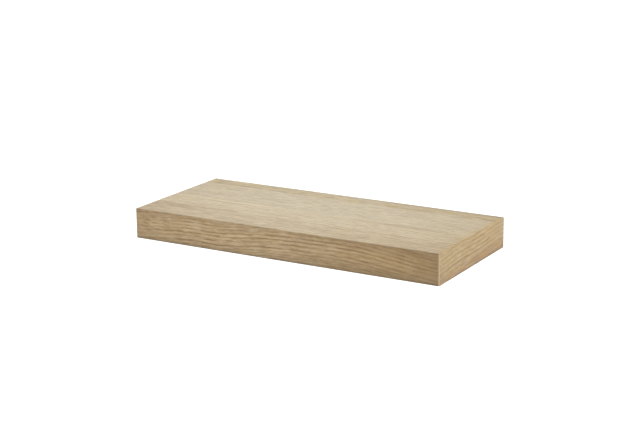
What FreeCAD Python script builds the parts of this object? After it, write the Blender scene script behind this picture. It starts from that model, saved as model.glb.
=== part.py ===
import FreeCAD, Part
import math
import os

import Sketcher

# Floating wall shelf: a veneered hollow-core board that slides onto a concealed rod bracket.
#
# Millimetres. X runs along the shelf, Y points into the wall, Z is up. The origin is the middle of the
# board's back face, on the wall plane, where the row of wall-screw holes is centred.

# ---------------------------------------------------------------------------------------------------
# Driving dimensions, in mm (counts have no unit)

DIMENSIONS = [
    # board
    ("board_length", 550),
    ("board_depth", 235),
    ("board_thickness", 50),
    ("veneer_thickness", 0.6),
    ("skin_thickness", 3),
    ("edging_thickness", 1),
    ("edging_easing", 0.8),
    # frame inside the board
    ("rail_width", 30),
    ("back_rail_width", 36),
    ("rib_width", 44),
    # staples across the frame's joints
    ("staple_crown", 14),
    ("staple_leg", 10),
    ("staple_wire_width", 1.2),
    ("staple_wire_depth", 0.9),
    # expanded paper core
    ("cell_flats", 28),
    ("paper_thickness", 0.5),
    ("core_clearance", 1),
    ("core_rows", 3),
    ("centre_columns", 9),
    ("bay_columns", 3),
    # wall bracket
    ("plate_length", 440),
    ("plate_height", 32),
    ("plate_thickness", 4),
    ("plate_corner_radius", 4),
    ("outer_hole_spacing", 410),
    ("inner_hole_spacing", 190),
    ("wall_hole_diameter", 5.5),
    ("wall_hole_mouth", 10.5),
    ("rod_spacing", 300),
    ("rod_diameter", 12),
    ("rod_reach", 174),
    ("rod_chamfer", 1.5),
    ("weld_leg", 3),
    # room for the bracket inside the board
    ("plate_side_clearance", 2),
    ("plate_front_clearance", 0.5),
    ("rod_clearance", 0.2),
    ("rod_end_clearance", 4),
    ("weld_clearance", 1),
    # lock screws and their threaded inserts
    ("lock_setback", 90),
    ("insert_length", 14),
    ("insert_bore", 6),
    ("insert_diameter", 10),
    ("insert_flange_diameter", 13),
    ("insert_flange_thickness", 1.2),
    ("insert_flange_clearance", 0.1),
    ("screw_diameter", 5.9),
    ("screw_length", 16),
    ("screw_passage", 6.6),
    ("screw_point_chamfer", 1.2),
    ("screw_rod_gap", 0.2),
    ("socket_flats", 3),
    ("socket_depth", 3.5),
]

# Sizes and places that follow from them, as expressions on the sheet
PANEL_LENGTH = "(Sizes.board_length - 2 * Sizes.edging_thickness)"
PANEL_DEPTH = "(Sizes.board_depth - Sizes.edging_thickness)"
CORE_HEIGHT = "(Sizes.board_thickness - 2 * Sizes.veneer_thickness - 2 * Sizes.skin_thickness)"
INNER_DEPTH = f"({PANEL_DEPTH} - Sizes.rail_width - Sizes.back_rail_width)"
MIDDLE_OF_PANEL = f"(-{PANEL_DEPTH} / 2)"
MIDDLE_OF_BAYS = f"(-Sizes.back_rail_width - {INNER_DEPTH} / 2)"
VENEER_LEVEL = "((Sizes.board_thickness - Sizes.veneer_thickness) / 2)"
SKIN_LEVEL = f"(({CORE_HEIGHT} + Sizes.skin_thickness) / 2)"
UNDERSIDE = "(-Sizes.board_thickness / 2)"
STILE_OFFSET = f"(({PANEL_LENGTH} - Sizes.rail_width) / 2)"
ROD_OFFSET = "(Sizes.rod_spacing / 2)"
CENTRE_BAY = "(Sizes.rod_spacing - Sizes.rib_width)"
SIDE_BAY = f"({STILE_OFFSET} - {ROD_OFFSET} - (Sizes.rail_width + Sizes.rib_width) / 2)"
SIDE_BAY_OFFSET = f"({ROD_OFFSET} + (Sizes.rib_width + {SIDE_BAY}) / 2)"
REBATE_DEPTH = "(Sizes.plate_thickness + Sizes.plate_front_clearance)"
ROD_BORE = "(Sizes.rod_diameter + 2 * Sizes.rod_clearance)"
CELL_PITCH = "(Sizes.cell_flats + Sizes.paper_thickness)"
LOCK_PLACE = "(-Sizes.lock_setback)"

SIDES = {"left": "-", "right": ""}

doc = FreeCAD.newDocument("FloatingShelf")
sheet = doc.addObject("Spreadsheet::Sheet", "Sizes")
reader = doc.addObject("App::VarSet", "Reader")
reader.addProperty("App::PropertyFloat", "Reading")
sub_parts = []


def fill_sheet():
    """Write every driving dimension and its alias into the spreadsheet."""
    for row, (alias, number) in enumerate(DIMENSIONS, start=1):
        sheet.set(f"A{row}", alias)
        sheet.set(f"B{row}", str(number))
        sheet.setAlias(f"B{row}", alias)
    doc.recompute()


def value(expression):
    """Number that an expression on the sheet stands for."""
    reader.setExpression("Reading", expression)
    reader.recompute()
    return reader.Reading


# ---------------------------------------------------------------------------------------------------
# Helpers shared by the sub-parts


def new_body(label, x="0", y="0", z="0"):
    """PartDesign body with its place bound to the sheet."""
    body = doc.addObject("PartDesign::Body", label)
    body.Label = label
    for axis, expression in (("x", x), ("y", y), ("z", z)):
        body.setExpression(f".Placement.Base.{axis}", expression)
    sub_parts.append(body)
    return body


def origin_feature(body, role):
    """Plane or axis of the body's own origin, by its role."""
    for feature in body.Origin.OriginFeatures:
        if feature.Role == role:
            return feature
    raise LookupError(role)


def new_sketch(body, name, plane, offset="0"):
    """Sketch on one of the body's origin planes, moved along the plane's normal."""
    sketch = body.newObject("Sketcher::SketchObject", f"{body.Name}_{name}")
    sketch.AttachmentSupport = (origin_feature(body, plane), [""])
    sketch.MapMode = "FlatFace"
    sketch.setExpression("AttachmentOffset.Base.z", offset)
    return sketch


def bind(sketch, name, constraint, expression):
    """Add a dimension to a sketch and drive it from the sheet."""
    index = sketch.addConstraint(constraint)
    sketch.renameConstraint(index, name)
    sketch.setExpression(f"Constraints.{name}", expression)


def place_point(sketch, name, geometry, position, x, y):
    """Fix a point of a sketch at x, y, which are expressions; "0" puts it on that axis."""
    if x == "0":
        sketch.addConstraint(Sketcher.Constraint("PointOnObject", geometry, position, -2))
    else:
        bind(sketch, f"{name}_x", Sketcher.Constraint("DistanceX", -1, 1, geometry, position, value(x)), x)
    if y == "0":
        sketch.addConstraint(Sketcher.Constraint("PointOnObject", geometry, position, -1))
    else:
        bind(sketch, f"{name}_y", Sketcher.Constraint("DistanceY", -1, 1, geometry, position, value(y)), y)


def add_outline(sketch, corners):
    """Closed outline of straight lines through corners given as pairs of expressions."""
    points = [FreeCAD.Vector(value(x), value(y), 0) for x, y in corners]
    count = len(points)
    lines = [
        sketch.addGeometry(Part.LineSegment(points[i], points[(i + 1) % count]), False) for i in range(count)
    ]
    for i in range(count):
        sketch.addConstraint(Sketcher.Constraint("Coincident", lines[i], 2, lines[(i + 1) % count], 1))
    for i, (x, y) in enumerate(corners):
        place_point(sketch, f"corner_{i}", lines[i], 1, x, y)


def add_rectangle(sketch, length, height):
    """Rectangle centred on the sketch's origin."""
    half_length = value(length) / 2
    half_height = value(height) / 2
    corners = [(-1, -1), (1, -1), (1, 1), (-1, 1)]
    points = [FreeCAD.Vector(half_length * sx, half_height * sy, 0) for sx, sy in corners]
    lines = [sketch.addGeometry(Part.LineSegment(points[i], points[(i + 1) % 4]), False) for i in range(4)]
    for i in range(4):
        sketch.addConstraint(Sketcher.Constraint("Coincident", lines[i], 2, lines[(i + 1) % 4], 1))
        direction = "Horizontal" if i % 2 == 0 else "Vertical"
        sketch.addConstraint(Sketcher.Constraint(direction, lines[i]))
    sketch.addConstraint(Sketcher.Constraint("Symmetric", lines[0], 1, lines[1], 2, -1, 1))
    bind(sketch, "length", Sketcher.Constraint("DistanceX", lines[0], 1, lines[0], 2, value(length)), length)
    bind(sketch, "height", Sketcher.Constraint("DistanceY", lines[1], 1, lines[1], 2, value(height)), height)


def add_circles(sketch, centres, diameter):
    """One circle of the given diameter on each centre, a pair of expressions."""
    for i, (x, y) in enumerate(centres):
        middle = FreeCAD.Vector(value(x), value(y), 0)
        circle = Part.Circle(middle, FreeCAD.Vector(0, 0, 1), value(diameter) / 2)
        geometry = sketch.addGeometry(circle, False)
        place_point(sketch, f"centre_{i}", geometry, 3, x, y)
        bind(sketch, f"diameter_{i}", Sketcher.Constraint("Diameter", geometry, value(diameter)), diameter)


def add_hexagon(sketch, x, y, flats):
    """Regular hexagon with two sides parallel to the sketch's Y axis."""
    radius = value(flats) / math.sqrt(3)
    middle = FreeCAD.Vector(value(x), value(y), 0)
    guide = sketch.addGeometry(Part.Circle(middle, FreeCAD.Vector(0, 0, 1), radius), True)
    turns = [math.radians(60 * i) for i in range(6)]
    points = [middle + FreeCAD.Vector(radius * math.sin(a), radius * math.cos(a), 0) for a in turns]
    lines = [sketch.addGeometry(Part.LineSegment(points[i], points[(i + 1) % 6]), False) for i in range(6)]
    for i in range(6):
        sketch.addConstraint(Sketcher.Constraint("Coincident", lines[i], 2, lines[(i + 1) % 6], 1))
        sketch.addConstraint(Sketcher.Constraint("PointOnObject", lines[i], 1, guide))
    for line in lines[1:]:
        sketch.addConstraint(Sketcher.Constraint("Equal", lines[0], line))
    sketch.addConstraint(Sketcher.Constraint("Vertical", lines[1]))
    place_point(sketch, "centre", guide, 3, x, y)
    corner_circle = f"2 * {flats} / sqrt(3)"
    bind(sketch, "corner_circle", Sketcher.Constraint("Diameter", guide, 2 * radius), corner_circle)


def pad(body, sketch, length, side="One side", flip=False):
    """Pad a sketch by a length from the sheet."""
    feature = body.newObject("PartDesign::Pad", f"{sketch.Name}_Pad")
    feature.Profile = sketch
    feature.SideType = side
    feature.Reversed = flip
    feature.setExpression("Length", length)
    doc.recompute()
    return feature


def revolve(body, sketch, axis):
    """Turn a sketch right round one of the body's own axes."""
    feature = body.newObject("PartDesign::Revolution", f"{sketch.Name}_Revolution")
    feature.Profile = sketch
    feature.ReferenceAxis = (origin_feature(body, axis), [""])
    feature.Angle = 360
    doc.recompute()
    return feature


def check_cut(body, feature, volume_before):
    """Stop if a cut took nothing away, as one that points off the solid does."""
    if not body.Shape.Volume < volume_before:
        raise RuntimeError(f"{feature.Label} cuts nothing from {body.Label}")
    return feature


def pocket(body, sketch, depth=None, side="One side", flip=False):
    """Cut a sketch to a depth, or right through if no depth is given."""
    volume_before = body.Shape.Volume
    feature = body.newObject("PartDesign::Pocket", f"{sketch.Name}_Pocket")
    feature.Profile = sketch
    feature.SideType = side
    feature.Reversed = flip
    if depth is None:
        feature.Type = "ThroughAll"
    else:
        feature.setExpression("Length", depth)
    doc.recompute()
    return check_cut(body, feature, volume_before)


def drill(body, sketch, diameter, depth=None, flip=False, mouth=None, mouth_depth=None):
    """Drill round holes on a sketch's circles.

    No depth means right through. A mouth alone is a 90 degree countersink, and a mouth with a depth is a
    counterbore.
    """
    doc.recompute()
    volume_before = body.Shape.Volume
    feature = body.newObject("PartDesign::Hole", f"{sketch.Name}_Hole")
    feature.Profile = sketch
    feature.Reversed = flip
    feature.ThreadType = "None"
    feature.DrillPoint = "Flat"
    feature.setExpression("Diameter", diameter)
    if depth is None:
        feature.DepthType = "ThroughAll"
    else:
        feature.DepthType = "Dimension"
        feature.setExpression("Depth", depth)
    if mouth is not None:
        feature.HoleCutType = "Countersink" if mouth_depth is None else "Counterbore"
        feature.HoleCutCustomValues = True
        feature.setExpression("HoleCutDiameter", mouth)
        if mouth_depth is None:
            feature.HoleCutCountersinkAngle = 90
        else:
            feature.setExpression("HoleCutDepth", mouth_depth)
    doc.recompute()
    return check_cut(body, feature, volume_before)


def edges_where(feature, test):
    """Names of the edges of a feature's shape whose bounding box passes a test."""
    edges = feature.Shape.Edges
    return [f"Edge{i}" for i, edge in enumerate(edges, start=1) if test(edge.BoundBox)]


def ease(body, feature, kind, edge_names, size):
    """Fillet or chamfer the named edges of a feature."""
    finish = body.newObject(f"PartDesign::{kind}", f"{feature.Name}_{kind}")
    finish.Base = (feature, edge_names)
    finish.setExpression("Radius" if kind == "Fillet" else "Size", size)
    doc.recompute()
    return finish


def near(a, b):
    """True when two lengths agree to a thousandth of a millimetre."""
    return abs(a - b) < 0.001


def rectangular_piece(label, length, depth, height, x="0", y="0", z="0"):
    """Straight-sided board or timber, its middle at x, y, z."""
    body = new_body(label, x, y, z)
    sketch = new_sketch(body, "Outline", "XY_Plane")
    add_rectangle(sketch, length, depth)
    pad(body, sketch, height, side="Symmetric")
    return body


def mirrored_pair(expression):
    """An expression with each sign."""
    return [f"-{expression}", expression]


# ---------------------------------------------------------------------------------------------------
# Board: veneers, skins and edgings


def build_top():
    """Top skin and the veneer on it."""
    level = SKIN_LEVEL
    rectangular_piece("top_skin", PANEL_LENGTH, PANEL_DEPTH, "Sizes.skin_thickness", y=MIDDLE_OF_PANEL, z=level)
    level = VENEER_LEVEL
    rectangular_piece("top_veneer", PANEL_LENGTH, PANEL_DEPTH, "Sizes.veneer_thickness", y=MIDDLE_OF_PANEL, z=level)


def build_bottom():
    """Bottom skin and veneer, opened for the flanges of the two lock inserts."""
    from_middle = f"({LOCK_PLACE} - {MIDDLE_OF_PANEL})"
    centres = [(x, from_middle) for x in mirrored_pair(ROD_OFFSET)]
    flange_hole = "(Sizes.insert_flange_diameter + 2 * Sizes.insert_flange_clearance)"

    level = f"-{SKIN_LEVEL}"
    skin = rectangular_piece(
        "bottom_skin", PANEL_LENGTH, PANEL_DEPTH, "Sizes.skin_thickness", y=MIDDLE_OF_PANEL, z=level
    )
    holes = new_sketch(skin, "InsertHoles", "XY_Plane", offset="-Sizes.skin_thickness / 2")
    add_circles(holes, centres, "Sizes.insert_diameter")
    flange_seat = "(Sizes.insert_flange_thickness - Sizes.veneer_thickness)"
    drill(skin, holes, "Sizes.insert_diameter", flip=True, mouth=flange_hole, mouth_depth=flange_seat)

    level = f"-{VENEER_LEVEL}"
    veneer = rectangular_piece(
        "bottom_veneer", PANEL_LENGTH, PANEL_DEPTH, "Sizes.veneer_thickness", y=MIDDLE_OF_PANEL, z=level
    )
    holes = new_sketch(veneer, "FlangeHoles", "XY_Plane")
    add_circles(holes, centres, flange_hole)
    pocket(veneer, holes, side="Symmetric")


def build_front_edging():
    """Front edging over the full length, its outer edges and corners eased."""
    body = new_body("front_edge_band", y=f"-{PANEL_DEPTH}")
    sketch = new_sketch(body, "Face", "XZ_Plane")
    add_rectangle(sketch, "Sizes.board_length", "Sizes.board_thickness")
    strip = pad(body, sketch, "Sizes.edging_thickness")
    front = strip.Shape.BoundBox.YMin
    outer = edges_where(strip, lambda box: near(box.YMin, front))
    ease(body, strip, "Fillet", outer, "Sizes.edging_easing")


def build_end_edgings():
    """Edging on each end, from the front edging to the wall, its long edges eased."""
    for side, sign in SIDES.items():
        x = f"{sign}{PANEL_LENGTH} / 2"
        body = new_body(f"{side}_edge_band", x=x, y=MIDDLE_OF_PANEL)
        sketch = new_sketch(body, "Face", "YZ_Plane")
        add_rectangle(sketch, PANEL_DEPTH, "Sizes.board_thickness")
        strip = pad(body, sketch, "Sizes.edging_thickness", flip=side == "left")
        outer_face = max(strip.Shape.BoundBox.XMax, -strip.Shape.BoundBox.XMin)
        long_edges = edges_where(
            strip,
            lambda box: near(abs(box.XMin), outer_face) and near(box.XMin, box.XMax) and near(box.ZMin, box.ZMax),
        )
        ease(body, strip, "Fillet", long_edges, "Sizes.edging_easing")


# ---------------------------------------------------------------------------------------------------
# Frame inside the board


def build_frame_staples():
    """Wire staples let in flush across every joint of the frame, on its upper and lower faces."""
    body = new_body("frame_staples")
    outer = "Sizes.staple_crown / 2"
    inner = f"({outer} - Sizes.staple_wire_depth)"
    joint = f"-({PANEL_DEPTH} - Sizes.rail_width)"
    face = f"{CORE_HEIGHT} / 2"
    crown = f"{face} - Sizes.staple_wire_depth"
    point = f"{face} - Sizes.staple_leg"
    patterned = []
    for name, x in (("Stile", STILE_OFFSET), ("Rib", ROD_OFFSET)):
        sketch = new_sketch(body, name, "YZ_Plane", offset=x)
        add_outline(
            sketch,
            [
                (f"{joint} - {outer}", face),
                (f"{joint} - {outer}", point),
                (f"{joint} - {inner}", point),
                (f"{joint} - {inner}", crown),
                (f"{joint} + {inner}", crown),
                (f"{joint} + {inner}", point),
                (f"{joint} + {outer}", point),
                (f"{joint} + {outer}", face),
            ],
        )
        patterned.append(pad(body, sketch, "Sizes.staple_wire_width", side="Symmetric"))

    rows = doc.addObject("PartDesign::LinearPattern", "StapleRows")
    rows.Direction = (origin_feature(body, "Y_Axis"), [""])
    rows.setExpression("Length", INNER_DEPTH)
    rows.Occurrences = 2
    ends = doc.addObject("PartDesign::Mirrored", "StapleEnds")
    ends.MirrorPlane = (origin_feature(body, "YZ_Plane"), [""])
    faces = doc.addObject("PartDesign::Mirrored", "StapleFaces")
    faces.MirrorPlane = (origin_feature(body, "XY_Plane"), [""])
    pattern = body.newObject("PartDesign::MultiTransform", "StaplePattern")
    pattern.Originals = patterned
    steps = [rows, ends, faces]
    for step in steps:
        body.addObject(step)
    pattern.Transformations = steps
    body.Tip = pattern
    doc.recompute()
    return body


def let_in(timber, staples):
    """Sub-part made of a timber with the staples' own shape cut out of it."""
    label = timber.Label
    timber.Label = f"{label}_blank"
    cut = doc.addObject("Part::Cut", f"{label}_cut")
    cut.Label = label
    cut.Base = timber
    cut.Tool = staples
    sub_parts[sub_parts.index(timber)] = cut
    doc.recompute()
    if not cut.Shape.Volume < timber.Shape.Volume:
        raise RuntimeError(f"the staples miss {cut.Label}")


def build_front_rail():
    """Front rail behind the front edging."""
    y = f"-{PANEL_DEPTH} + Sizes.rail_width / 2"
    return [rectangular_piece("front_rail", PANEL_LENGTH, "Sizes.rail_width", CORE_HEIGHT, y=y)]


def build_back_rail():
    """Back rail: rebated for the bracket's plate and bored for its rods."""
    half = "Sizes.back_rail_width / 2"
    rail = rectangular_piece("back_rail", PANEL_LENGTH, "Sizes.back_rail_width", CORE_HEIGHT, y=f"-{half}")
    rebate = new_sketch(rail, "Rebate", "XZ_Plane", offset=f"-{half}")
    length = "(Sizes.plate_length + 2 * Sizes.plate_side_clearance)"
    height = "(Sizes.plate_height + 2 * Sizes.plate_side_clearance)"
    add_rectangle(rebate, length, height)
    pocket(rail, rebate, depth=REBATE_DEPTH, flip=True)

    bores = new_sketch(rail, "RodBores", "XZ_Plane", offset=f"{REBATE_DEPTH} - {half}")
    add_circles(bores, [(x, "0") for x in mirrored_pair(ROD_OFFSET)], ROD_BORE)
    mouth = "(Sizes.rod_diameter + 2 * (Sizes.weld_leg + Sizes.weld_clearance))"
    drill(rail, bores, ROD_BORE, flip=True, mouth=mouth)
    return [rail]


def build_stiles():
    """End stiles between the two rails."""
    stiles = []
    for side, sign in SIDES.items():
        x = f"{sign}{STILE_OFFSET}"
        stile = rectangular_piece(
            f"{side}_stile", "Sizes.rail_width", INNER_DEPTH, CORE_HEIGHT, x=x, y=MIDDLE_OF_BAYS
        )
        stiles.append(stile)
    return stiles


def build_rod_ribs():
    """Thick ribs, each with a blind bore for a rod and a stepped hole for a lock insert and its screw."""
    ribs = []
    for side, sign in SIDES.items():
        x = f"{sign}{ROD_OFFSET}"
        rib = rectangular_piece(
            f"{side}_rod_rib", "Sizes.rib_width", INNER_DEPTH, CORE_HEIGHT, x=x, y=MIDDLE_OF_BAYS
        )
        bore = new_sketch(rib, "RodBore", "XZ_Plane", offset=f"-{INNER_DEPTH} / 2")
        add_circles(bore, [("0", "0")], ROD_BORE)
        depth = "Sizes.rod_reach + Sizes.rod_end_clearance - Sizes.back_rail_width"
        drill(rib, bore, ROD_BORE, depth=depth, flip=True)

        lock = new_sketch(rib, "LockHole", "XY_Plane", offset=f"-{CORE_HEIGHT} / 2")
        add_circles(lock, [("0", f"{LOCK_PLACE} - {MIDDLE_OF_BAYS}")], "Sizes.screw_passage")
        skins = "Sizes.skin_thickness - Sizes.veneer_thickness"
        drill(
            rib,
            lock,
            "Sizes.screw_passage",
            depth=f"{CORE_HEIGHT} / 2",
            flip=True,
            mouth="Sizes.insert_diameter",
            mouth_depth=f"Sizes.insert_length - {skins}",
        )
        ribs.append(rib)
    return ribs


def build_frame():
    """Rails, stiles and ribs, with the staples let into them."""
    timbers = build_front_rail() + build_back_rail() + build_stiles() + build_rod_ribs()
    staples = build_frame_staples()
    for timber in timbers:
        let_in(timber, staples)


# ---------------------------------------------------------------------------------------------------
# Expanded paper core


def cut_cells(body, name, columns, rows):
    """Cut a grid of hexagonal cells, centred on the body, one cell pitch apart in X."""
    first_x = f"-({columns} - 1) / 2 * {CELL_PITCH}"
    first_y = f"-({rows} - 1) / 2 * {CELL_PITCH} * sqrt(3)"
    sketch = new_sketch(body, f"{name}Cell", "XY_Plane")
    add_hexagon(sketch, first_x, first_y, "Sizes.cell_flats")
    doc.recompute()
    cell = pocket(body, sketch, side="Symmetric")
    grid = body.newObject("PartDesign::LinearPattern", f"{sketch.Name}_Grid")
    grid.Originals = [cell]
    grid.Direction = (sketch, ["H_Axis"])
    grid.setExpression("Length", f"({columns} - 1) * {CELL_PITCH}")
    grid.setExpression("Occurrences", columns)
    grid.Direction2 = (sketch, ["V_Axis"])
    grid.setExpression("Length2", f"({rows} - 1) * {CELL_PITCH} * sqrt(3)")
    grid.setExpression("Occurrences2", rows)
    body.Tip = grid
    doc.recompute()


def honeycomb(label, bay, columns, x="0"):
    """Paper honeycomb that fills a bay, its cells upright and its outer cells cut open by the sides."""
    length = f"({bay} - 2 * Sizes.core_clearance)"
    depth = f"({INNER_DEPTH} - 2 * Sizes.core_clearance)"
    core = rectangular_piece(label, length, depth, CORE_HEIGHT, x=x, y=MIDDLE_OF_BAYS)
    cut_cells(core, "Even", columns, "Sizes.core_rows")
    cut_cells(core, "Odd", f"({columns} + 1)", "(Sizes.core_rows + 1)")


def build_honeycombs():
    """Paper core in the centre bay and in the bay at each end."""
    honeycomb("centre_honeycomb", CENTRE_BAY, "Sizes.centre_columns")
    for side, sign in SIDES.items():
        honeycomb(f"{side}_honeycomb", SIDE_BAY, "Sizes.bay_columns", x=f"{sign}{SIDE_BAY_OFFSET}")


# ---------------------------------------------------------------------------------------------------
# Wall bracket


def build_back_plate():
    """Flat bar with rounded corners, countersunk wall-screw holes and a hole for each rod."""
    plate = new_body("back_plate")
    outline = new_sketch(plate, "Outline", "XZ_Plane")
    add_rectangle(outline, "Sizes.plate_length", "Sizes.plate_height")
    bar = pad(plate, outline, "Sizes.plate_thickness")
    corners = edges_where(bar, lambda box: near(box.XMin, box.XMax) and near(box.ZMin, box.ZMax))
    ease(plate, bar, "Fillet", corners, "Sizes.plate_corner_radius")

    rod_holes = new_sketch(plate, "RodHoles", "XZ_Plane")
    add_circles(rod_holes, [(x, "0") for x in mirrored_pair(ROD_OFFSET)], "Sizes.rod_diameter")
    pocket(plate, rod_holes, side="Symmetric")

    wall_holes = new_sketch(plate, "WallHoles", "XZ_Plane", offset="Sizes.plate_thickness")
    centres = []
    for spacing in ("Sizes.outer_hole_spacing", "Sizes.inner_hole_spacing"):
        centres += [(x, "0") for x in mirrored_pair(f"{spacing} / 2")]
    add_circles(wall_holes, centres, "Sizes.wall_hole_diameter")
    drill(plate, wall_holes, "Sizes.wall_hole_diameter", mouth="Sizes.wall_hole_mouth")


def build_support_rods():
    """Round rods let into the plate, flush with its back, their tips chamfered to find the bores."""
    for side, sign in SIDES.items():
        rod = new_body(f"{side}_support_rod", x=f"{sign}{ROD_OFFSET}")
        section = new_sketch(rod, "Section", "XZ_Plane")
        add_circles(section, [("0", "0")], "Sizes.rod_diameter")
        bar = pad(rod, section, "Sizes.rod_reach")
        tip_end = bar.Shape.BoundBox.YMin
        tip = edges_where(bar, lambda box: near(box.YMin, tip_end) and near(box.YMax, tip_end))
        ease(rod, bar, "Chamfer", tip, "Sizes.rod_chamfer")


def build_rod_welds():
    """Weld fillet in the corner between each rod and the plate's front face."""
    for side, sign in SIDES.items():
        weld = new_body(f"{side}_rod_weld", x=f"{sign}{ROD_OFFSET}")
        profile = new_sketch(weld, "Profile", "XY_Plane")
        inner = "Sizes.rod_diameter / 2"
        face = "-Sizes.plate_thickness"
        add_outline(
            profile,
            [(inner, face), (inner, f"{face} - Sizes.weld_leg"), (f"{inner} + Sizes.weld_leg", face)],
        )
        revolve(weld, profile, "Y_Axis")


# ---------------------------------------------------------------------------------------------------
# Lock screws


def build_lock_inserts():
    """Flanged threaded inserts, flush with the underside."""
    bore = "Sizes.insert_bore / 2"
    wall = "Sizes.insert_diameter / 2"
    rim = "Sizes.insert_flange_diameter / 2"
    flange = "Sizes.insert_flange_thickness"
    for side, sign in SIDES.items():
        insert = new_body(f"{side}_lock_insert", x=f"{sign}{ROD_OFFSET}", y=LOCK_PLACE, z=UNDERSIDE)
        section = new_sketch(insert, "Section", "XZ_Plane")
        add_outline(
            section,
            [
                (bore, "0"),
                (rim, "0"),
                (rim, flange),
                (wall, flange),
                (wall, "Sizes.insert_length"),
                (bore, "Sizes.insert_length"),
            ],
        )
        revolve(insert, section, "Z_Axis")


def build_lock_screws():
    """Socket grub screws, their points just clear of the rods."""
    point_level = "(-Sizes.rod_diameter / 2 - Sizes.screw_rod_gap)"
    for side, sign in SIDES.items():
        z = f"{point_level} - Sizes.screw_length"
        screw = new_body(f"{side}_lock_screw", x=f"{sign}{ROD_OFFSET}", y=LOCK_PLACE, z=z)
        section = new_sketch(screw, "Section", "XY_Plane")
        add_circles(section, [("0", "0")], "Sizes.screw_diameter")
        shank = pad(screw, section, "Sizes.screw_length")
        top = shank.Shape.BoundBox.ZMax
        point = edges_where(shank, lambda box: near(box.ZMin, top) and near(box.ZMax, top))
        ease(screw, shank, "Chamfer", point, "Sizes.screw_point_chamfer")
        socket = new_sketch(screw, "Socket", "XY_Plane")
        add_hexagon(socket, "0", "0", "Sizes.socket_flats")
        doc.recompute()
        pocket(screw, socket, depth="Sizes.socket_depth", flip=True)


# ---------------------------------------------------------------------------------------------------
# Build, check and export


def check_document():
    """Stop if any object failed or any sub-part's shape is empty or not valid."""
    for item in doc.Objects:
        if "Invalid" in item.State or "Error" in item.State:
            raise RuntimeError(f"{item.Label} failed: {item.State}")
    for part in sub_parts:
        if part.Shape.isNull() or not part.Shape.isValid() or not part.Shape.Solids:
            raise RuntimeError(f"{part.Label} has no valid solid")


def export_parts():
    """Write each sub-part to its own STEP file."""
    os.makedirs("parts", exist_ok=True)
    for part in sub_parts:
        part.Shape.exportStep(f"parts/{part.Label}.step")


fill_sheet()
build_top()
build_bottom()
build_front_edging()
build_end_edgings()
build_frame()
build_honeycombs()
build_back_plate()
build_support_rods()
build_rod_welds()
build_lock_inserts()
build_lock_screws()
doc.removeObject(reader.Name)
doc.recompute()
check_document()
export_parts()
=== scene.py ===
"""Floating wall shelf: an oak-faced hollow board that slides onto a steel bracket and locks from below."""
import logging
import math
from dataclasses import dataclass, field
from enum import Enum
from functools import partial
from typing import Callable, Sequence

import bmesh
import bpy
from bpy.types import ID, Material, Mesh, NodeSocket, NodeTree, Object
from mathutils import Matrix, Vector


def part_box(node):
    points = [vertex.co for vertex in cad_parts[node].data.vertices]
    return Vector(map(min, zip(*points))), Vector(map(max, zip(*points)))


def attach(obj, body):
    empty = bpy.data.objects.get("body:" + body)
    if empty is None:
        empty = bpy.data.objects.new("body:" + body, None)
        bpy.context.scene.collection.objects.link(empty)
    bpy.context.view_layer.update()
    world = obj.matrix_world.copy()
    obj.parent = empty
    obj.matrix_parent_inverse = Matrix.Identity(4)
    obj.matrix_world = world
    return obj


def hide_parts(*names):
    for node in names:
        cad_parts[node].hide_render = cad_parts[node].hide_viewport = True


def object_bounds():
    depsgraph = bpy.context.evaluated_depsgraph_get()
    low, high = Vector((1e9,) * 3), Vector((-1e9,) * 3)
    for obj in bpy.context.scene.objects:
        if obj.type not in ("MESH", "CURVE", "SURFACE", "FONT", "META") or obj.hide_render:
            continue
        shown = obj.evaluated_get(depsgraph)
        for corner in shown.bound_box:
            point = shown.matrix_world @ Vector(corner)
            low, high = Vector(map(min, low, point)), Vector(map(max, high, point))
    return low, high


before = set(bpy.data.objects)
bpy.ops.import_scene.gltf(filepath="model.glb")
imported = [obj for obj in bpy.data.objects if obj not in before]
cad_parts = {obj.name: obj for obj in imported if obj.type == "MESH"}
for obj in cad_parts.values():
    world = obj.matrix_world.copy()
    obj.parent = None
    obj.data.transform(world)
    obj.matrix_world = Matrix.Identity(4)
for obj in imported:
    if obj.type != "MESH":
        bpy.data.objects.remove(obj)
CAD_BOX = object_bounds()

LOG = logging.getLogger("wall_shelf")
MM = 0.001
PER_METRE = 1000.0
LENGTH, DEPTH, HEIGHT = (round((high - low) * PER_METRE, 3) for low, high in zip(*CAD_BOX))
ROD_SIDE = 150.0
SHARP_FROM = math.radians(32)

Colour = tuple[float, float, float, float]
Points = Sequence[tuple[float, float]]


def paint(red: float, green: float, blue: float) -> Colour:
    """An opaque colour in linear light."""
    return (red, green, blue, 1.0)


WHITE = paint(1.0, 1.0, 1.0)


# ---------------------------------------------------------------- node bench


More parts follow.
